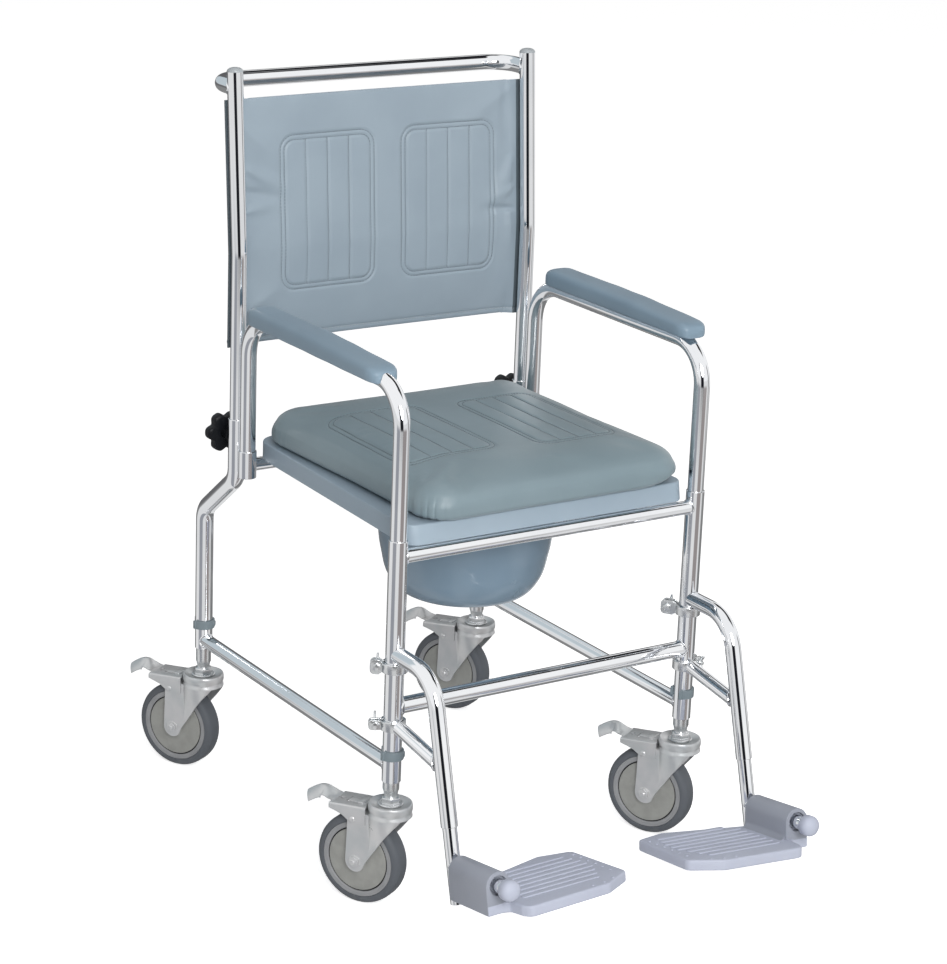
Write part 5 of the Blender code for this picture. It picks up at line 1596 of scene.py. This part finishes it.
def makeCushion():
    shape = cushionShape(cushion["step"])
    skin = inflate(cushionShape(cushion["clothStep"], -cushion["shrink"]))
    for vert in shape.verts:
        place, _, _, _ = skin.find_nearest(vert.co)
        keep = min(1.0, max(0.0, (vert.co.z - cushion["base"] - 0.002) / 0.010))
        vert.co = vert.co.lerp(place, cushion["follow"] * keep)
    for _ in range(2):
        bmesh.ops.smooth_vert(shape, verts=[v for v in shape.verts if v.co.z > cushion["base"] + 0.003],
                              factor=0.5, use_axis_x=True, use_axis_y=True, use_axis_z=True)
    shape.normal_update()
    topZ = cushion["base"] + cushion["edge"] + 0.004
    changes = []
    for vert in shape.verts:
        x, y, z = vert.co
        change = 0.0
        if z > topZ:
            pressed, puffed = sewnDepth(x, y, cushionPanels)
            change = panelSewing["puff"] * puffed - cushion["groove"] * pressed
            change += 0.0010 * noise.noise(Vector((x * 8, y * 8, 1.7)))
        else:
            low = min(1.0, max(0.0, (topZ - z) / 0.020))
            fromX, fromY = x - cushion["middleX"], y - cushionMiddle
            cornerNear = max(0.0, 1 - abs(abs(fromX) - abs(fromY)) / 0.075)
            angle = math.atan2(fromY, fromX)
            drift = 3 * noise.noise(Vector((x * 20, y * 20, 0)))
            pleats = abs(math.sin(angle * cushion["pleats"] + drift))
            change -= cushion["pleatDepth"] * cornerNear * low * (1 - pleats) ** 2
            change += 0.0007 * noise.noise(Vector((x * 14, y * 14, z * 25)))
        changes.append(vert.normal * change)
    for vert, change in zip(shape.verts, changes):
        vert.co += change
        vert.co.z = max(vert.co.z, cushion["base"])
    skin = BVHTree.FromBMesh(shape)
    mesh = meshFrom(shape, "seatCushion", 60)
    piece = addPiece("seatCushion", mesh, "seatVinyl", "cushion", ["seat_cushion"])

    def surface(x, y):
        place, normal, _, _ = skin.ray_cast(Vector((x, y, 1.0)), Vector((0, 0, -1)))
        return place, (normal if normal.z > 0 else -normal)

    makeStitches("cushionStitches", sewnPaths(cushionPanels), surface, "seatThread", "cushion")


makeCushion()
print("cushion filled")

# Casters, in a frame whose +Y is the trail and whose +X is the axle
caster = {
    "wheelRadius": 0.0625,
    "trail": 0.040,
    "turn": 28.2,
    "headRadius": 0.030,
    "top": 0.150,
    "floor": 0.132,
    "inner": 0.018,
    "plate": 0.0025,
    "rivetT": 0.045,
    "rivetZ": 0.122,
}
sidewaysAxis = Matrix.Rotation(math.pi / 2, 4, "Y")


# A wheel's profiles as (radius, place along the axle), from its middle or its outer edge to one side
wheel = {
    "tyre": [(0.0625, 0.0), (0.0625, 0.0060), (0.0621, 0.0088), (0.0610, 0.0112), (0.0594, 0.0130),
             (0.0570, 0.0143), (0.0545, 0.0149), (0.0528, 0.0150), (0.0524, 0.0146), (0.0522, 0.0138)],
    "tyreBore": [(0.0505, -0.0120), (0.0505, 0.0120)],
    "wheelRim": [(0.0521, 0.0125), (0.0519, 0.0137), (0.0508, 0.0142), (0.0496, 0.0143), (0.0490, 0.0139),
                 (0.0484, 0.0140), (0.0468, 0.0140), (0.0456, 0.0138), (0.0450, 0.0132), (0.0447, 0.0110)],
    "wheelHub": [(0.0433, 0.0095), (0.0433, 0.0126), (0.0428, 0.0132), (0.0415, 0.0134), (0.0375, 0.0134),
                 (0.0300, 0.0136), (0.0150, 0.0138), (0.0125, 0.0146), (0.0115, 0.0170), (0.0110, 0.0177),
                 (0.0046, 0.0177)],
    # a near-black ring set in the groove between rim and hub: painted shade for the groove
    "grooveShadeRing": [(0.0446, 0.0090), (0.0446, 0.0120), (0.0440, 0.0124), (0.0434, 0.0120)],
}


def makeTyreMesh():
    half = wheel["tyre"]
    profile = half[::-1] + [(radius, -place) for radius, place in half[1:]] + wheel["tyreBore"]
    shape = bmesh.new()
    lathe(shape, profile, 120, sidewaysAxis, closed=True)
    return meshFrom(shape, "tyre", 40)


def makeWheelRing(name):
    # the rim, the hub, or the near-black ring of painted shade in the groove between them
    half = wheel[name]
    profile = half + [(radius, -place) for radius, place in reversed(half)]
    shape = bmesh.new()
    lathe(shape, profile, 96, sidewaysAxis, closed=True)
    return meshFrom(shape, name, 40)


forkSide = {
    "eye": 0.0148,
    "rear": [(0.1326, 0.0500), (0.1170, 0.0535), (0.0625, 0.0548)],  # height, trail
    "front": [(0.1326, -0.0245), (0.1287, -0.0226), (0.0986, 0.0006), (0.0640, 0.0240), (0.0522, 0.0294)],
    "crease": 0.020,
    "creaseDepth": 0.0009,
    "creaseHalf": 0.0008,
    "headRadius": 0.0295,
    "swellFrom": 0.080,
    "swellRun": 0.050,
    "nearEdges": (0.012, 0.988),
    "edgeRound": 0.0006,
    "rows": 44,
    "columns": 40,
}


def along(run, height):
    # the trail of an edge at a height, from its (height, trail) points
    for (high, first), (low, second) in zip(run, run[1:]):
        if height >= low:
            return first + (second - first) * (high - height) / (high - low)
    return run[-1][1]


def forkSkin(t, z):
    # how far out the plate stands: flat behind the crease, ahead of it swelling up to the head's circle
    flat = caster["inner"] + caster["plate"]
    if t > forkSide["crease"]:
        return flat
    share = min(1.0, max(0.0, (z - forkSide["swellFrom"]) / forkSide["swellRun"]))
    rise = share * share * (3 - 2 * share)
    swell = math.sqrt(max(0.0, forkSide["headRadius"] ** 2 - t * t)) - flat
    fromCrease = (t - forkSide["crease"] + forkSide["creaseHalf"]) / forkSide["creaseHalf"]
    groove = forkSide["creaseDepth"] * math.exp(-(fromCrease**2)) * min(1.0, share * 6)
    return flat + swell * rise - groove


def makeForkSide(shape, sign):
    trail, axleZ, eye = caster["trail"], caster["wheelRadius"], forkSide["eye"]
    top, columns = forkSide["rear"][0][0], forkSide["columns"]
    heights = [top - (top - axleZ) * index / forkSide["rows"] for index in range(forkSide["rows"])]
    heights += [axleZ - eye * math.sin(math.radians(turn)) for turn in range(0, 91, 6)]
    skins = {"outer": [], "inner": []}
    for z in heights:
        below = axleZ - z
        reach = math.sqrt(max(0.0, eye**2 - below**2)) if below > 0 else eye
        rear = trail + reach if below > 0 else along(forkSide["rear"], z)
        front = trail - reach if z < forkSide["front"][-1][0] else along(forkSide["front"], z)
        outerRow, innerRow = [], []
        for index in range(columns + 1):
            share = index / columns
            if index == 1:
                share = forkSide["nearEdges"][0]
            elif index == columns - 1:
                share = forkSide["nearEdges"][1]
            t = front + (max(rear, front + 0.0002) - front) * share
            edge = forkSide["edgeRound"] if index in (0, columns) else 0.0
            skin = forkSkin(t, z)
            outerRow.append(shape.verts.new((sign * (skin - edge), t, z)))
            innerRow.append(shape.verts.new((sign * (skin - caster["plate"]), t, z)))
        skins["outer"].append(outerRow)
        skins["inner"].append(innerRow)
    for rows in skins.values():
        gridFaces(shape, rows)
    bridge(shape, gridRim(skins["outer"]), gridRim(skins["inner"]))


def makeForkMesh():
    top, floor = caster["top"], caster["floor"]
    shape = bmesh.new()
    head = [(0, top - 0.0034), (0.0165, top - 0.0034), (0.0180, top - 0.0032), (0.0192, top - 0.0024),
            (0.0262, top - 0.0007), (0.0276, top - 0.0002), (0.0288, top - 0.0007), (0.0294, top - 0.0022),
            (0.0297, top - 0.0040), (0.0297, top - 0.0088), (0.0295, top - 0.0098), (0.0284, top - 0.0104),
            (0.0280, top - 0.0118), (0.0283, top - 0.0136), (0.0292, floor + 0.0022), (0.0296, floor),
            (0, floor)]
    lathe(shape, head, 72)
    for sign in (-1, 1):
        makeForkSide(shape, sign)
    half = caster["inner"] + caster["plate"] - 0.001
    crown = roundedOutline(boxCorners(-half, -0.017, half, caster["trail"] + 0.009), 0.003, 4)
    merge(shape, slab(crown, caster["plate"], rounding=0.0006), shift(z=floor - 0.0008))
    return meshFrom(shape, "casterFork", 35)


axleBolt = {
    "radius": 0.004,
    "washer": [(0.0088, 0), (0.0088, 0.0006), (0.0082, 0.0009), (0.0070, 0.0009), (0, 0.0009)],
    "nutSeat": 0.0007,
    "nutRadius": 0.0074,
    "nutHeight": 0.0036,
    "tip": [(0.0036, 0.0040), (0.0034, 0.0056), (0.0026, 0.0062), (0, 0.0058)],
}


def makeAxleMesh():
    shape = bmesh.new()
    outer = caster["inner"] + caster["plate"]
    trail, height = caster["trail"], caster["wheelRadius"]
    for sign in (-1, 1):
        place = shift(sign * outer, trail, height) @ Matrix.Rotation(sign * math.pi / 2, 4, "Y")
        lathe(shape, axleBolt["washer"], 36, place)
        hexNut(shape, place @ shift(z=axleBolt["nutSeat"]), axleBolt["nutRadius"], axleBolt["nutHeight"])
        lathe(shape, axleBolt["tip"], 28, place)
    sweep(shape, [(-outer, trail, height), (outer, trail, height)], axleBolt["radius"], 24)
    return meshFrom(shape, "axleBolt")


pedal = {
    "in": 0.0208,
    "sheet": 0.0016,
    "bend": 0.0024,
    "tabWidth": 0.030,
    "tabDrop": 0.0130,  # how far the toe tab's side edges turn down
    # trail, flange bottom, roof top
    "stations": [(0.0255, 0.1177, 0.1425), (0.043, 0.1177, 0.1412), (0.050, 0.1187, 0.1406),
                 (0.0605, 0.1251, 0.1397), (0.070, 0.1278, 0.1390), (0.081, 0.1305, 0.1381)],
    # trail, height
    "tab": [(0.076, 0.1376), (0.0815, 0.1392), (0.0855, 0.1426), (0.0893, 0.1470), (0.0935, 0.1502),
            (0.098, 0.1514), (0.106, 0.1502), (0.116, 0.1450), (0.1255, 0.1384)],
    "tabNarrows": (0.1235, 0.96),  # trail, share of the width beyond it
    "flareFrom": 0.082,
    "flareRun": 0.014,
    "window": (0.045, 0.062),
    "windowHalf": 0.0085,
    "springHole": 0.0715,
    "springHoleRadius": 0.0042,
    "headRoom": 0.0312,
    "crossPlate": (0.011, 0.036, 0.0435),  # half width, near and far
    "rivet": [(0.0042, -0.0004), (0.0042, 0.0006), (0.0034, 0.0014), (0.0018, 0.0018), (0, 0.0019)],
}


# A pressed channel: flanges outside the fork, a roof with a window, and a toe tab that flares and curls
def makePedalMesh():
    sheet = pedal["sheet"]
    outerX = pedal["in"] + sheet
    bend = pedal["bend"]
    shape = bmesh.new()
    rings = []
    for t, low, high in pedal["stations"]:
        leftBend, rightBend = (-outerX + bend, high - bend), (outerX - bend, high - bend)
        inner = bend - sheet
        outline = [(-outerX, low)]
        outline += arcPoints(bend, 180, 90, 5, leftBend) + arcPoints(bend, 90, 0, 5, rightBend)
        outline += [(outerX, low), (outerX - sheet, low)]
        outline += arcPoints(inner, 0, 90, 5, rightBend) + arcPoints(inner, 90, 180, 5, leftBend)
        outline += [(-outerX + sheet, low)]
        rings.append([shape.verts.new((x, t, z)) for x, z in outline])
    loft(shape, rings)
    room = bmesh.new()  # what the swivel head takes out of the channel
    lathe(room, [(0, 0.170), (pedal["headRoom"], 0.170), (pedal["headRoom"], 0.120), (0, 0.120)], 64)
    near, far = pedal["window"]
    half = pedal["windowHalf"]
    window = roundedOutline(boxCorners(-half, near, half, far), 0.0015, 3)
    hole = arcPoints(pedal["springHoleRadius"], 0, 340, 17, (0.0, pedal["springHole"]))
    channel = meshFrom(shape, "pedalChannel")
    cutters = [
        meshFrom(room, "room"),
        slab(window, 0.02, rounding=0.0, steps=0, place=shift(z=0.143)),
        slab(hole, 0.02, rounding=0.0, steps=0, place=shift(z=0.141)),
    ]
    whole = bmesh.new()
    merge(whole, shaped(channel, cutters))
    run = [Vector((0, t, z)) for t, z in smoothRun(pedal["tab"], 5)]
    rows = []
    for index, point in enumerate(run):
        before, after = run[max(0, index - 1)], run[min(len(run) - 1, index + 1)]
        ahead = (after - before).normalized()
        normal = Vector((0, -ahead.z, ahead.y))
        narrowFrom, narrowed = pedal["tabNarrows"]
        half = pedal["tabWidth"] / 2 * (1.0 if point.y < narrowFrom else narrowed)
        flare = min(1.0, max(0.0, (point.y - pedal["flareFrom"]) / pedal["flareRun"]))
        row = []
        for side in (1, -1):
            steps = range(-6, 7) if side > 0 else range(6, -7, -1)
            for step in steps:
                share = step / 6
                lift = -pedal["tabDrop"] * flare * share * share - (0.0 if side > 0 else sheet)
                row.append(whole.verts.new(point + Vector((half * share, 0, 0)) + normal * lift))
        rows.append(row)
    loft(whole, rows)
    half, near, far = pedal["crossPlate"]
    crossPlate = roundedOutline(boxCorners(-half, near, half, far), 0.0015, 3)
    merge(whole, slab(crossPlate, 0.0022, rounding=0.0005), shift(z=0.1424))
    for sign in (-1, 1):
        outward = Matrix.Rotation(sign * math.pi / 2, 4, "Y")
        lathe(whole, pedal["rivet"], 28, shift(sign * outerX, caster["rivetT"], caster["rivetZ"]) @ outward)
    return meshFrom(whole, "brakePedal", 35)


# The spring strip and its rivet that show in the pedal's window, and the cup in the hole beside it
latch = {
    "half": 0.0070,
    "thickness": 0.0016,
    "height": 0.1400,
    "rivetRadius": 0.0030,
    "cup": [(0.0046, 0.1340), (0.0040, 0.1340), (0.0040, 0.1385), (0.0046, 0.1385)],
}


def makeLatchMesh():
    shape = bmesh.new()
    near, far = pedal["window"]
    strip = boxCorners(-latch["half"], near + 0.0008, latch["half"], far - 0.0018)
    strip = slab(roundedOutline(strip, 0.0012, 3), latch["thickness"], rounding=0.0004)
    merge(shape, strip, shift(z=latch["height"]))
    rivetY = near + 0.003
    sweep(shape, [(0, rivetY, 0.1350), (0, rivetY, 0.1395)], latch["rivetRadius"], 20)
    lathe(shape, latch["cup"], 24, shift(y=pedal["springHole"]), closed=True)
    return meshFrom(shape, "brakeLatch")


stem = {
    "tops": {"front": 0.300, "rear": 0.309},
    "seat": 0.0028,  # how far below the head's top its washer stands
    "gap": 0.0001,
    "neckRadius": 0.0086,
    "boreDepth": 0.040,
    "washer": [(0, 0), (0.0160, 0), (0.0166, 0.0005), (0.0166, 0.0016), (0.0160, 0.0020), (0, 0.0020)],
    "nutRadius": 0.0132,
    "nutHeight": 0.0090,
    "nutSeat": 0.0018,
}


def makeStemMesh(top):
    radius = chair["plugRadius"] - stem["gap"]
    inner = radius - chair["wall"]
    neck = stem["neckRadius"]
    base = caster["top"] - stem["seat"]
    bore = top - stem["boreDepth"]
    profile = [(0, base + 0.002), (neck, base + 0.002), (neck, base + 0.0115), (0.0092, base + 0.0155),
               (radius - 0.0008, base + 0.0200), (radius, base + 0.0215), (radius, top - 0.0004),
               (radius - 0.0004, top), (inner, top), (inner, bore), (0, bore)]
    shape = bmesh.new()
    lathe(shape, profile, 44)
    lathe(shape, [(reach, base + height) for reach, height in stem["washer"]], 44)
    hexNut(shape, shift(z=base + stem["nutSeat"]), stem["nutRadius"], stem["nutHeight"])
    return meshFrom(shape, "casterStem")


def makeCasters():
    tyre = makeTyreMesh()
    rim, hub, grooveShade = (makeWheelRing(name) for name in ("wheelRim", "wheelHub", "grooveShadeRing"))
    fork, axle, brake, spring = makeForkMesh(), makeAxleMesh(), makePedalMesh(), makeLatchMesh()
    turned = Matrix.Rotation(math.radians(caster["turn"]), 4, "Z")
    wheelPlace = shift(y=caster["trail"], z=caster["wheelRadius"])
    for end, corner, x, y in legPlaces():
        upright = shift(x, y)
        place = upright @ turned
        onAxle = place @ wheelPlace
        # name, mesh, finish, body, the solid that it stands for, place
        pieces = [
            ("casterStem", makeStemMesh(stem["tops"][end]), "clampPlate", "stem", "caster_stem", upright),
            ("casterFork", fork, "zinc", "fork", "caster_fork", place),
            ("axleBolt", axle, "zinc", "fork", None, place),
            ("tyre", tyre, "tyreRubber", "wheel", "caster_tyre", onAxle),
            ("wheelRim", rim, "rimPlastic", "wheel", None, onAxle),
            # the groove ring is painted shade: near-black plastic where the groove between rim and hub falls
            # dark
            ("grooveShadeRing", grooveShade, "knobPlastic", "wheel", None, onAxle),
            ("wheelHub", hub, "hubPlastic", "wheel", "caster_hub", onAxle),
            ("brakePedal", brake, "zinc", "pedal", "brake_pedal", place),
            ("brakeLatch", spring, "zinc", "pedal", None, place),
        ]
        for name, mesh, finish, body, solid, where in pieces:
            replaced = [f"{corner}_{solid}"] if solid else ()
            addPiece(f"{name}_{corner}", mesh, finish, f"{corner}_{body}", replaced, where)


makeCasters()
print("casters dressed")

# Footrests
foot = {
    "clampRadius": 0.017,
    "clampBore": 0.0132,
    "clampHeight": 0.013,
    "upperZ": 0.3391,
    "lowerZ": 0.2595,
    "earHeight": {"upper": 0.0200, "lower": 0.0135},
    "earReach": {"upper": {"left": 0.032, "right": 0.038}, "lower": {"left": 0.032, "right": 0.0290}},
    "boltInset": 0.0090,
    "clampTurns": {"upper": {"left": 56, "right": 35}, "lower": {"left": 62, "right": -80}},
    "plateRoll": {"left": -1.5, "right": 3.4},
    "earSheet": 0.0025,
    "earSlot": 0.006,
    "topZ": 0.357,
    "bend": 0.055,
    "mouth": (0, -0.1428, 0.1708),
    "lean": 0.27,
    "strutZ": 0.262,
    "strutSlope": 0.15,
    "barPitch": 9,
    "barBelow": {"left": 0.0511, "right": 0.0640},
    "tubeRadius": 0.0095,
    "tubeAbove": 0.136,
    "tubeBelow": 0.048,
    "capMiddle": 0.130,
    "capRadius": 0.0138,
    "capLength": 0.019,
    "capFloor": 0.008,
    "capDome": 0.0095,
}
# A clamp's bolt and wing nut, outward from its ear
clampBolt = {
    "radius": 0.0028,
    "tail": 0.003,
    "reach": 0.0105,
    "headRadius": 0.0056,
    "headHeight": 0.0040,
    "hub": [(0, 0.0), (0.0062, 0.0), (0.0062, 0.001), (0.0050, 0.0022), (0.0044, 0.0070), (0.0036, 0.0078),
            (0, 0.0078)],
    "wing": [(0.0015, 0.0025), (0.0035, 0.0050), (0.0090, 0.0110), (0.0112, 0.0118), (0.0128, 0.0100),
             (0.0118, 0.0070), (0.0080, 0.0028), (0.0076, 0)],
    "wingSheet": 0.0030,
}
mouth = Vector(foot["mouth"])
footAxis = Vector((0, foot["lean"], 1)).normalized()
pitch = math.radians(foot["barPitch"])
barAxis = Vector((0, -math.cos(pitch), math.sin(pitch)))


def makeClampMesh(reach, earHeight):
    half = foot["clampHeight"] / 2
    bore, outer = foot["clampBore"], foot["clampRadius"]
    slot, sheet = foot["earSlot"] / 2, foot["earSheet"]
    gapTurn = math.degrees(math.asin(slot / bore))
    outerTurn = math.degrees(math.asin((slot + sheet) / outer))
    outline = arcPoints(outer, 90 + outerTurn, 450 - outerTurn, 60)
    root = outer * math.cos(math.radians(outerTurn))
    outline += [(slot + sheet, root + 0.001), (slot, root + 0.001)]
    outline += arcPoints(bore, 450 - gapTurn, 90 + gapTurn, 56)
    outline += [(-slot, root + 0.001), (-slot - sheet, root + 0.001)]
    shape = bmesh.new()
    merge(shape, slab(outline, 2 * half, rounding=0.0005))
    tall = earHeight / 2
    corner = tall * 0.6
    shoulder = root + 0.004
    ear = [(root, -half), (shoulder, -tall), (reach, -tall), (reach, tall), (shoulder, tall), (root, half)]
    ear = roundedOutline(ear, [0, 0.002, corner, corner, 0.002, 0], 8)
    edge = slot + sheet
    for across in (-1, 1):
        merge(shape, slab(ear, sheet, "X", rounding=0.0006), shift(x=across * (slot + sheet / 2)))
    boltY = reach - foot["boltInset"]
    bolt = [(-edge - clampBolt["tail"], boltY, 0), (edge + clampBolt["reach"], boltY, 0)]
    sweep(shape, bolt, clampBolt["radius"], 24)
    headPlace = shift(-edge, boltY) @ Matrix.Rotation(-math.pi / 2, 4, "Y")
    hexNut(shape, headPlace, clampBolt["headRadius"], clampBolt["headHeight"])
    lathe(shape, clampBolt["hub"], 32, shift(edge, boltY) @ Matrix.Rotation(math.pi / 2, 4, "Y"))
    wing = [(edge + out, -up) for out, up in clampBolt["wing"]]
    wing += [(out, -up) for out, up in wing[-2::-1]]
    merge(shape, slab(wing, clampBolt["wingSheet"], "Y", rounding=0.0011, steps=3), shift(y=boltY))
    return meshFrom(shape, "footrestClamp")


def makeHangerMesh():
    rise = foot["topZ"] - mouth.z
    corner = Vector((0, mouth.y + foot["lean"] * rise, foot["topZ"]))
    shape = bmesh.new()
    radius = chair["plugRadius"]
    path = roundedPath([(0, -0.010, foot["topZ"]), corner, mouth], foot["bend"], 18)
    start, _ = sweep(shape, path, radius, 44, chair["wall"])
    saddle = chair["legRadius"] + 0.0006
    near = [vert for vert in shape.verts if vert.co.y > -0.0115]
    for vert in near:  # the end is cut to the leg's curve
        lip = 0.0004 if vert not in start else 0.0
        vert.co.y = -math.sqrt(max(0.0, saddle**2 - min(vert.co.x**2, saddle**2))) - lip
    strutY = mouth.y + foot["lean"] * (foot["strutZ"] - mouth.z)
    strutEnd = Vector((0, strutY, foot["strutZ"] + foot["strutSlope"] * strutY))
    strutTop = foot["strutZ"] - foot["strutSlope"] * foot["clampRadius"]
    strutStart = Vector((0, -foot["clampRadius"] + 0.0012, strutTop))
    direction = (strutStart - strutEnd).normalized()
    across = footAxis.cross(direction).normalized()
    flat = across.cross(footAxis)
    depth = radius - chair["wall"] / 2
    known = set(shape.verts)
    sweep(shape, [strutStart, strutEnd], foot["tubeRadius"], 36)
    for vert in set(shape.verts) - known:  # the strut's far end is cut to the hanger's curve
        offset = vert.co - strutEnd
        if offset.length < 0.012:
            side = min(abs(offset.dot(across)), depth)
            need = math.sqrt(depth**2 - side**2) - offset.dot(flat)
            vert.co += direction * (need / direction.dot(flat))
    weldBead(shape, strutEnd, direction, radius, foot["tubeRadius"], footAxis)
    return meshFrom(shape, "hanger")


def makeFootTubeMesh():
    shape = bmesh.new()
    radius = foot["tubeRadius"]
    sweep(shape, [-footAxis * foot["tubeBelow"], footAxis * foot["tubeAbove"]], radius, 40, chair["wall"])
    barEnd = barAxis * (foot["capMiddle"] + foot["capLength"] / 2 - foot["capFloor"] - 0.0003)
    sweep(shape, [barAxis * 0.004, barEnd], radius, 40)
    weldBead(shape, (0, 0, 0), barAxis, radius, radius * 0.98, footAxis)
    return meshFrom(shape, "footTube")


def makeEndCapMesh():
    low = foot["capMiddle"] - foot["capLength"] / 2
    high = foot["capMiddle"] + foot["capLength"] / 2
    radius = foot["capRadius"]
    bore = foot["tubeRadius"] + 0.0003
    floor = high - foot["capFloor"]
    dome = foot["capDome"]
    profile = [(0, floor), (bore, floor), (bore, low + 0.0006), (bore + 0.0006, low), (radius - 0.0022, low),
               (radius - 0.0008, low + 0.0007), (radius, low + 0.0022), (radius, high - dome)]
    turns = [math.radians(turn) for turn in range(12, 91, 13)]
    profile += [(radius * math.cos(turn), high - dome + dome * math.sin(turn)) for turn in turns]
    profile[-1] = (0, high)
    shape = bmesh.new()
    lathe(shape, profile, 48, Matrix.Rotation(math.pi / 2, 4, "X"))
    return meshFrom(shape, "barCap", 40)


plate = {
    "rear": 0.0142,
    "front": 0.1035,
    "housingRadius": 0.018,
    "drop": 0.0226,
    "thickness": 0.0145,
    "rounding": 0.0026,
    "ribs": 8,
    "ribHeight": 0.0012,
    "ribHalf": 0.0044,
    "ribStart": 0.0085,
    "ribPitch": 0.0138,
    "ribInner": (0.050, 0.032),  # the first rib's inner end, and the others'
    "ribOuter": 0.168,
    "ribShortens": ((2, 0.004), (4, 0.0065)),  # a rib before the first or past the second, and by how much
    "counterbore": 0.013,
    "counterDepth": 0.006,
    "filletRadius": 0.0075,
    # inboard of the bar's middle, ahead of where it leaves the foot tube
    "corners": [(-0.0175, 0.0142), (0.018, 0.0142), (0.1355, -0.0166), (0.1827, -0.0036), (0.1876, 0.1118),
                (0.1439, 0.1370), (0.0210, 0.1424), (0.0150, 0.1290), (0.0125, 0.1075), (0.004, 0.1035),
                (-0.0175, 0.1035)],
    "radii": [0, 0.008, 0.015, 0.010, 0.010, 0.015, 0.012, 0.008, 0.005, 0, 0],
    "dotRow": (0.1745, 0.012, 0.0165, 6),  # inboard, the first one's place, pitch, number
    "dots": [(0.158, 0.1235), (0.1405, 0.1290), (0.1225, 0.1305)],
    "dot": [(0.0021, 0.0), (0.0019, 0.0007), (0.0010, 0.0011), (0, 0.0012)],
}


# The tread with its ribs, fillet and dots, in one with the housing that turns on the bar
def makePlateMesh(inboard):
    outline = [(inboard * a, -b) for a, b in roundedOutline(plate["corners"], plate["radii"], 6)]
    if inboard > 0:
        outline = outline[::-1]
    top = -plate["drop"]
    low = top - plate["thickness"]
    treadPlace = shift(z=(top + low) / 2)
    tread = slab(outline, plate["thickness"], rounding=plate["rounding"], steps=4, place=treadPlace)
    radius = plate["housingRadius"]
    section = [(radius, low + 0.0012)] + arcPoints(radius, 0, 180, 28) + [(-radius, low + 0.0012)]
    length = plate["front"] - plate["rear"] - 0.0006
    housingPlace = shift(y=-(plate["front"] + plate["rear"]) / 2)
    housing = slab(section, length, "Y", rounding=0.0012, steps=3, place=housingPlace)
    reach = plate["filletRadius"]
    turns = [math.radians(90 * step / 10) for step in range(11)]
    fillet = [(inboard * (radius - 0.002), top - 0.002), (inboard * (radius - 0.002), top + reach)]
    fillet += [
        (inboard * (radius + reach - reach * math.cos(turn)), top + reach - reach * math.sin(turn))
        for turn in turns
    ]
    fillet.append((inboard * (radius + reach), top - 0.002))
    if inboard > 0:
        fillet = fillet[::-1]
    cove = slab(fillet, length - 0.006, "Y", rounding=0.0, steps=0, place=housingPlace)
    boreRadius = foot["tubeRadius"] + 0.0003
    step, beyond = plate["front"] - plate["counterDepth"], plate["front"] + 0.01
    profile = [(0, 0.0), (boreRadius, 0.0), (boreRadius, step), (plate["counterbore"], step),
               (plate["counterbore"], beyond), (0, beyond)]
    bore = bmesh.new()
    lathe(bore, profile, 48, Matrix.Rotation(math.pi / 2, 4, "X"))
    shape = bmesh.new()
    merge(shape, shaped(housing, [meshFrom(bore, "bore")]))
    merge(shape, cove)
    housingFaces = len(shape.faces)
    merge(shape, tread)
    half = plate["ribHalf"]
    (early, earlyBy), (late, lateBy) = plate["ribShortens"]
    for index in range(plate["ribs"]):
        ahead = plate["ribStart"] + plate["ribPitch"] * index
        outer = plate["ribOuter"] - lateBy * max(0.0, index - late) - earlyBy * max(0, early - index)
        inner = plate["ribInner"][min(index, 1)]
        rib = boxCorners(inboard * inner, -ahead - half, inboard * outer, -ahead + half)
        rib = slab(roundedOutline(rib, 0.0030, 5), 2 * plate["ribHeight"], rounding=0.0009, steps=2)
        merge(shape, rib, shift(z=top))
    across, first, pitchAlong, number = plate["dotRow"]
    for a, b in [(across, first + pitchAlong * index) for index in range(number)] + plate["dots"]:
        lathe(shape, plate["dot"], 16, shift(inboard * a, -b, top))
    mesh = meshFrom(shape, "footplate", 40)
    mesh.materials.append(materials["footPlastic"])
    mesh.materials.append(materials["paintedLitFootPlastic"])
    # the housing takes the shaded copy and the tread the lighter one: painted light on the tread
    for face in mesh.polygons:
        face.material_index = int(face.index >= housingFaces)
    return mesh


def makeFootrests():
    hanger, footTube, endCap = makeHangerMesh(), makeFootTubeMesh(), makeEndCapMesh()
    tilt = Matrix.Rotation(-pitch, 4, "X")
    for side, sign in sides.items():
        place = shift(x=sign * halfTrack)
        body = f"footrest_{side}"
        addPiece(f"hangerTube_{side}", hanger, "chrome", body, [f"hanger_{side}"], place)
        for level in ("upper", "lower"):
            clamp = makeClampMesh(foot["earReach"][level][side], foot["earHeight"][level])
            turned = Matrix.Rotation(math.radians(foot["clampTurns"][level][side]), 4, "Z")
            addPiece(f"clampRing_{level}_{side}", clamp, "clampPlate", body, [f"clamp_{level}_{side}"],
                     place @ shift(z=foot[f"{level}Z"]) @ turned)
        body = f"foot_tube_{side}"
        bar = place @ Matrix.Translation(mouth - footAxis * foot["barBelow"][side])
        addPiece(f"footTube_{side}", footTube, "chrome", body, [f"foot_tube_{side}"], bar)
        # the bar caps take the tread's lighter, painted-light copy too
        addPiece(f"barCap_{side}", endCap, "paintedLitFootPlastic", body, [f"end_cap_{side}"], bar @ tilt)
        body = f"footplate_{side}"
        roll = Matrix.Rotation(math.radians(foot["plateRoll"][side]), 4, "Y")
        addPiece(body, makePlateMesh(-sign), "footPlastic", body, [body], bar @ tilt @ roll)


makeFootrests()
print("footrests dressed")
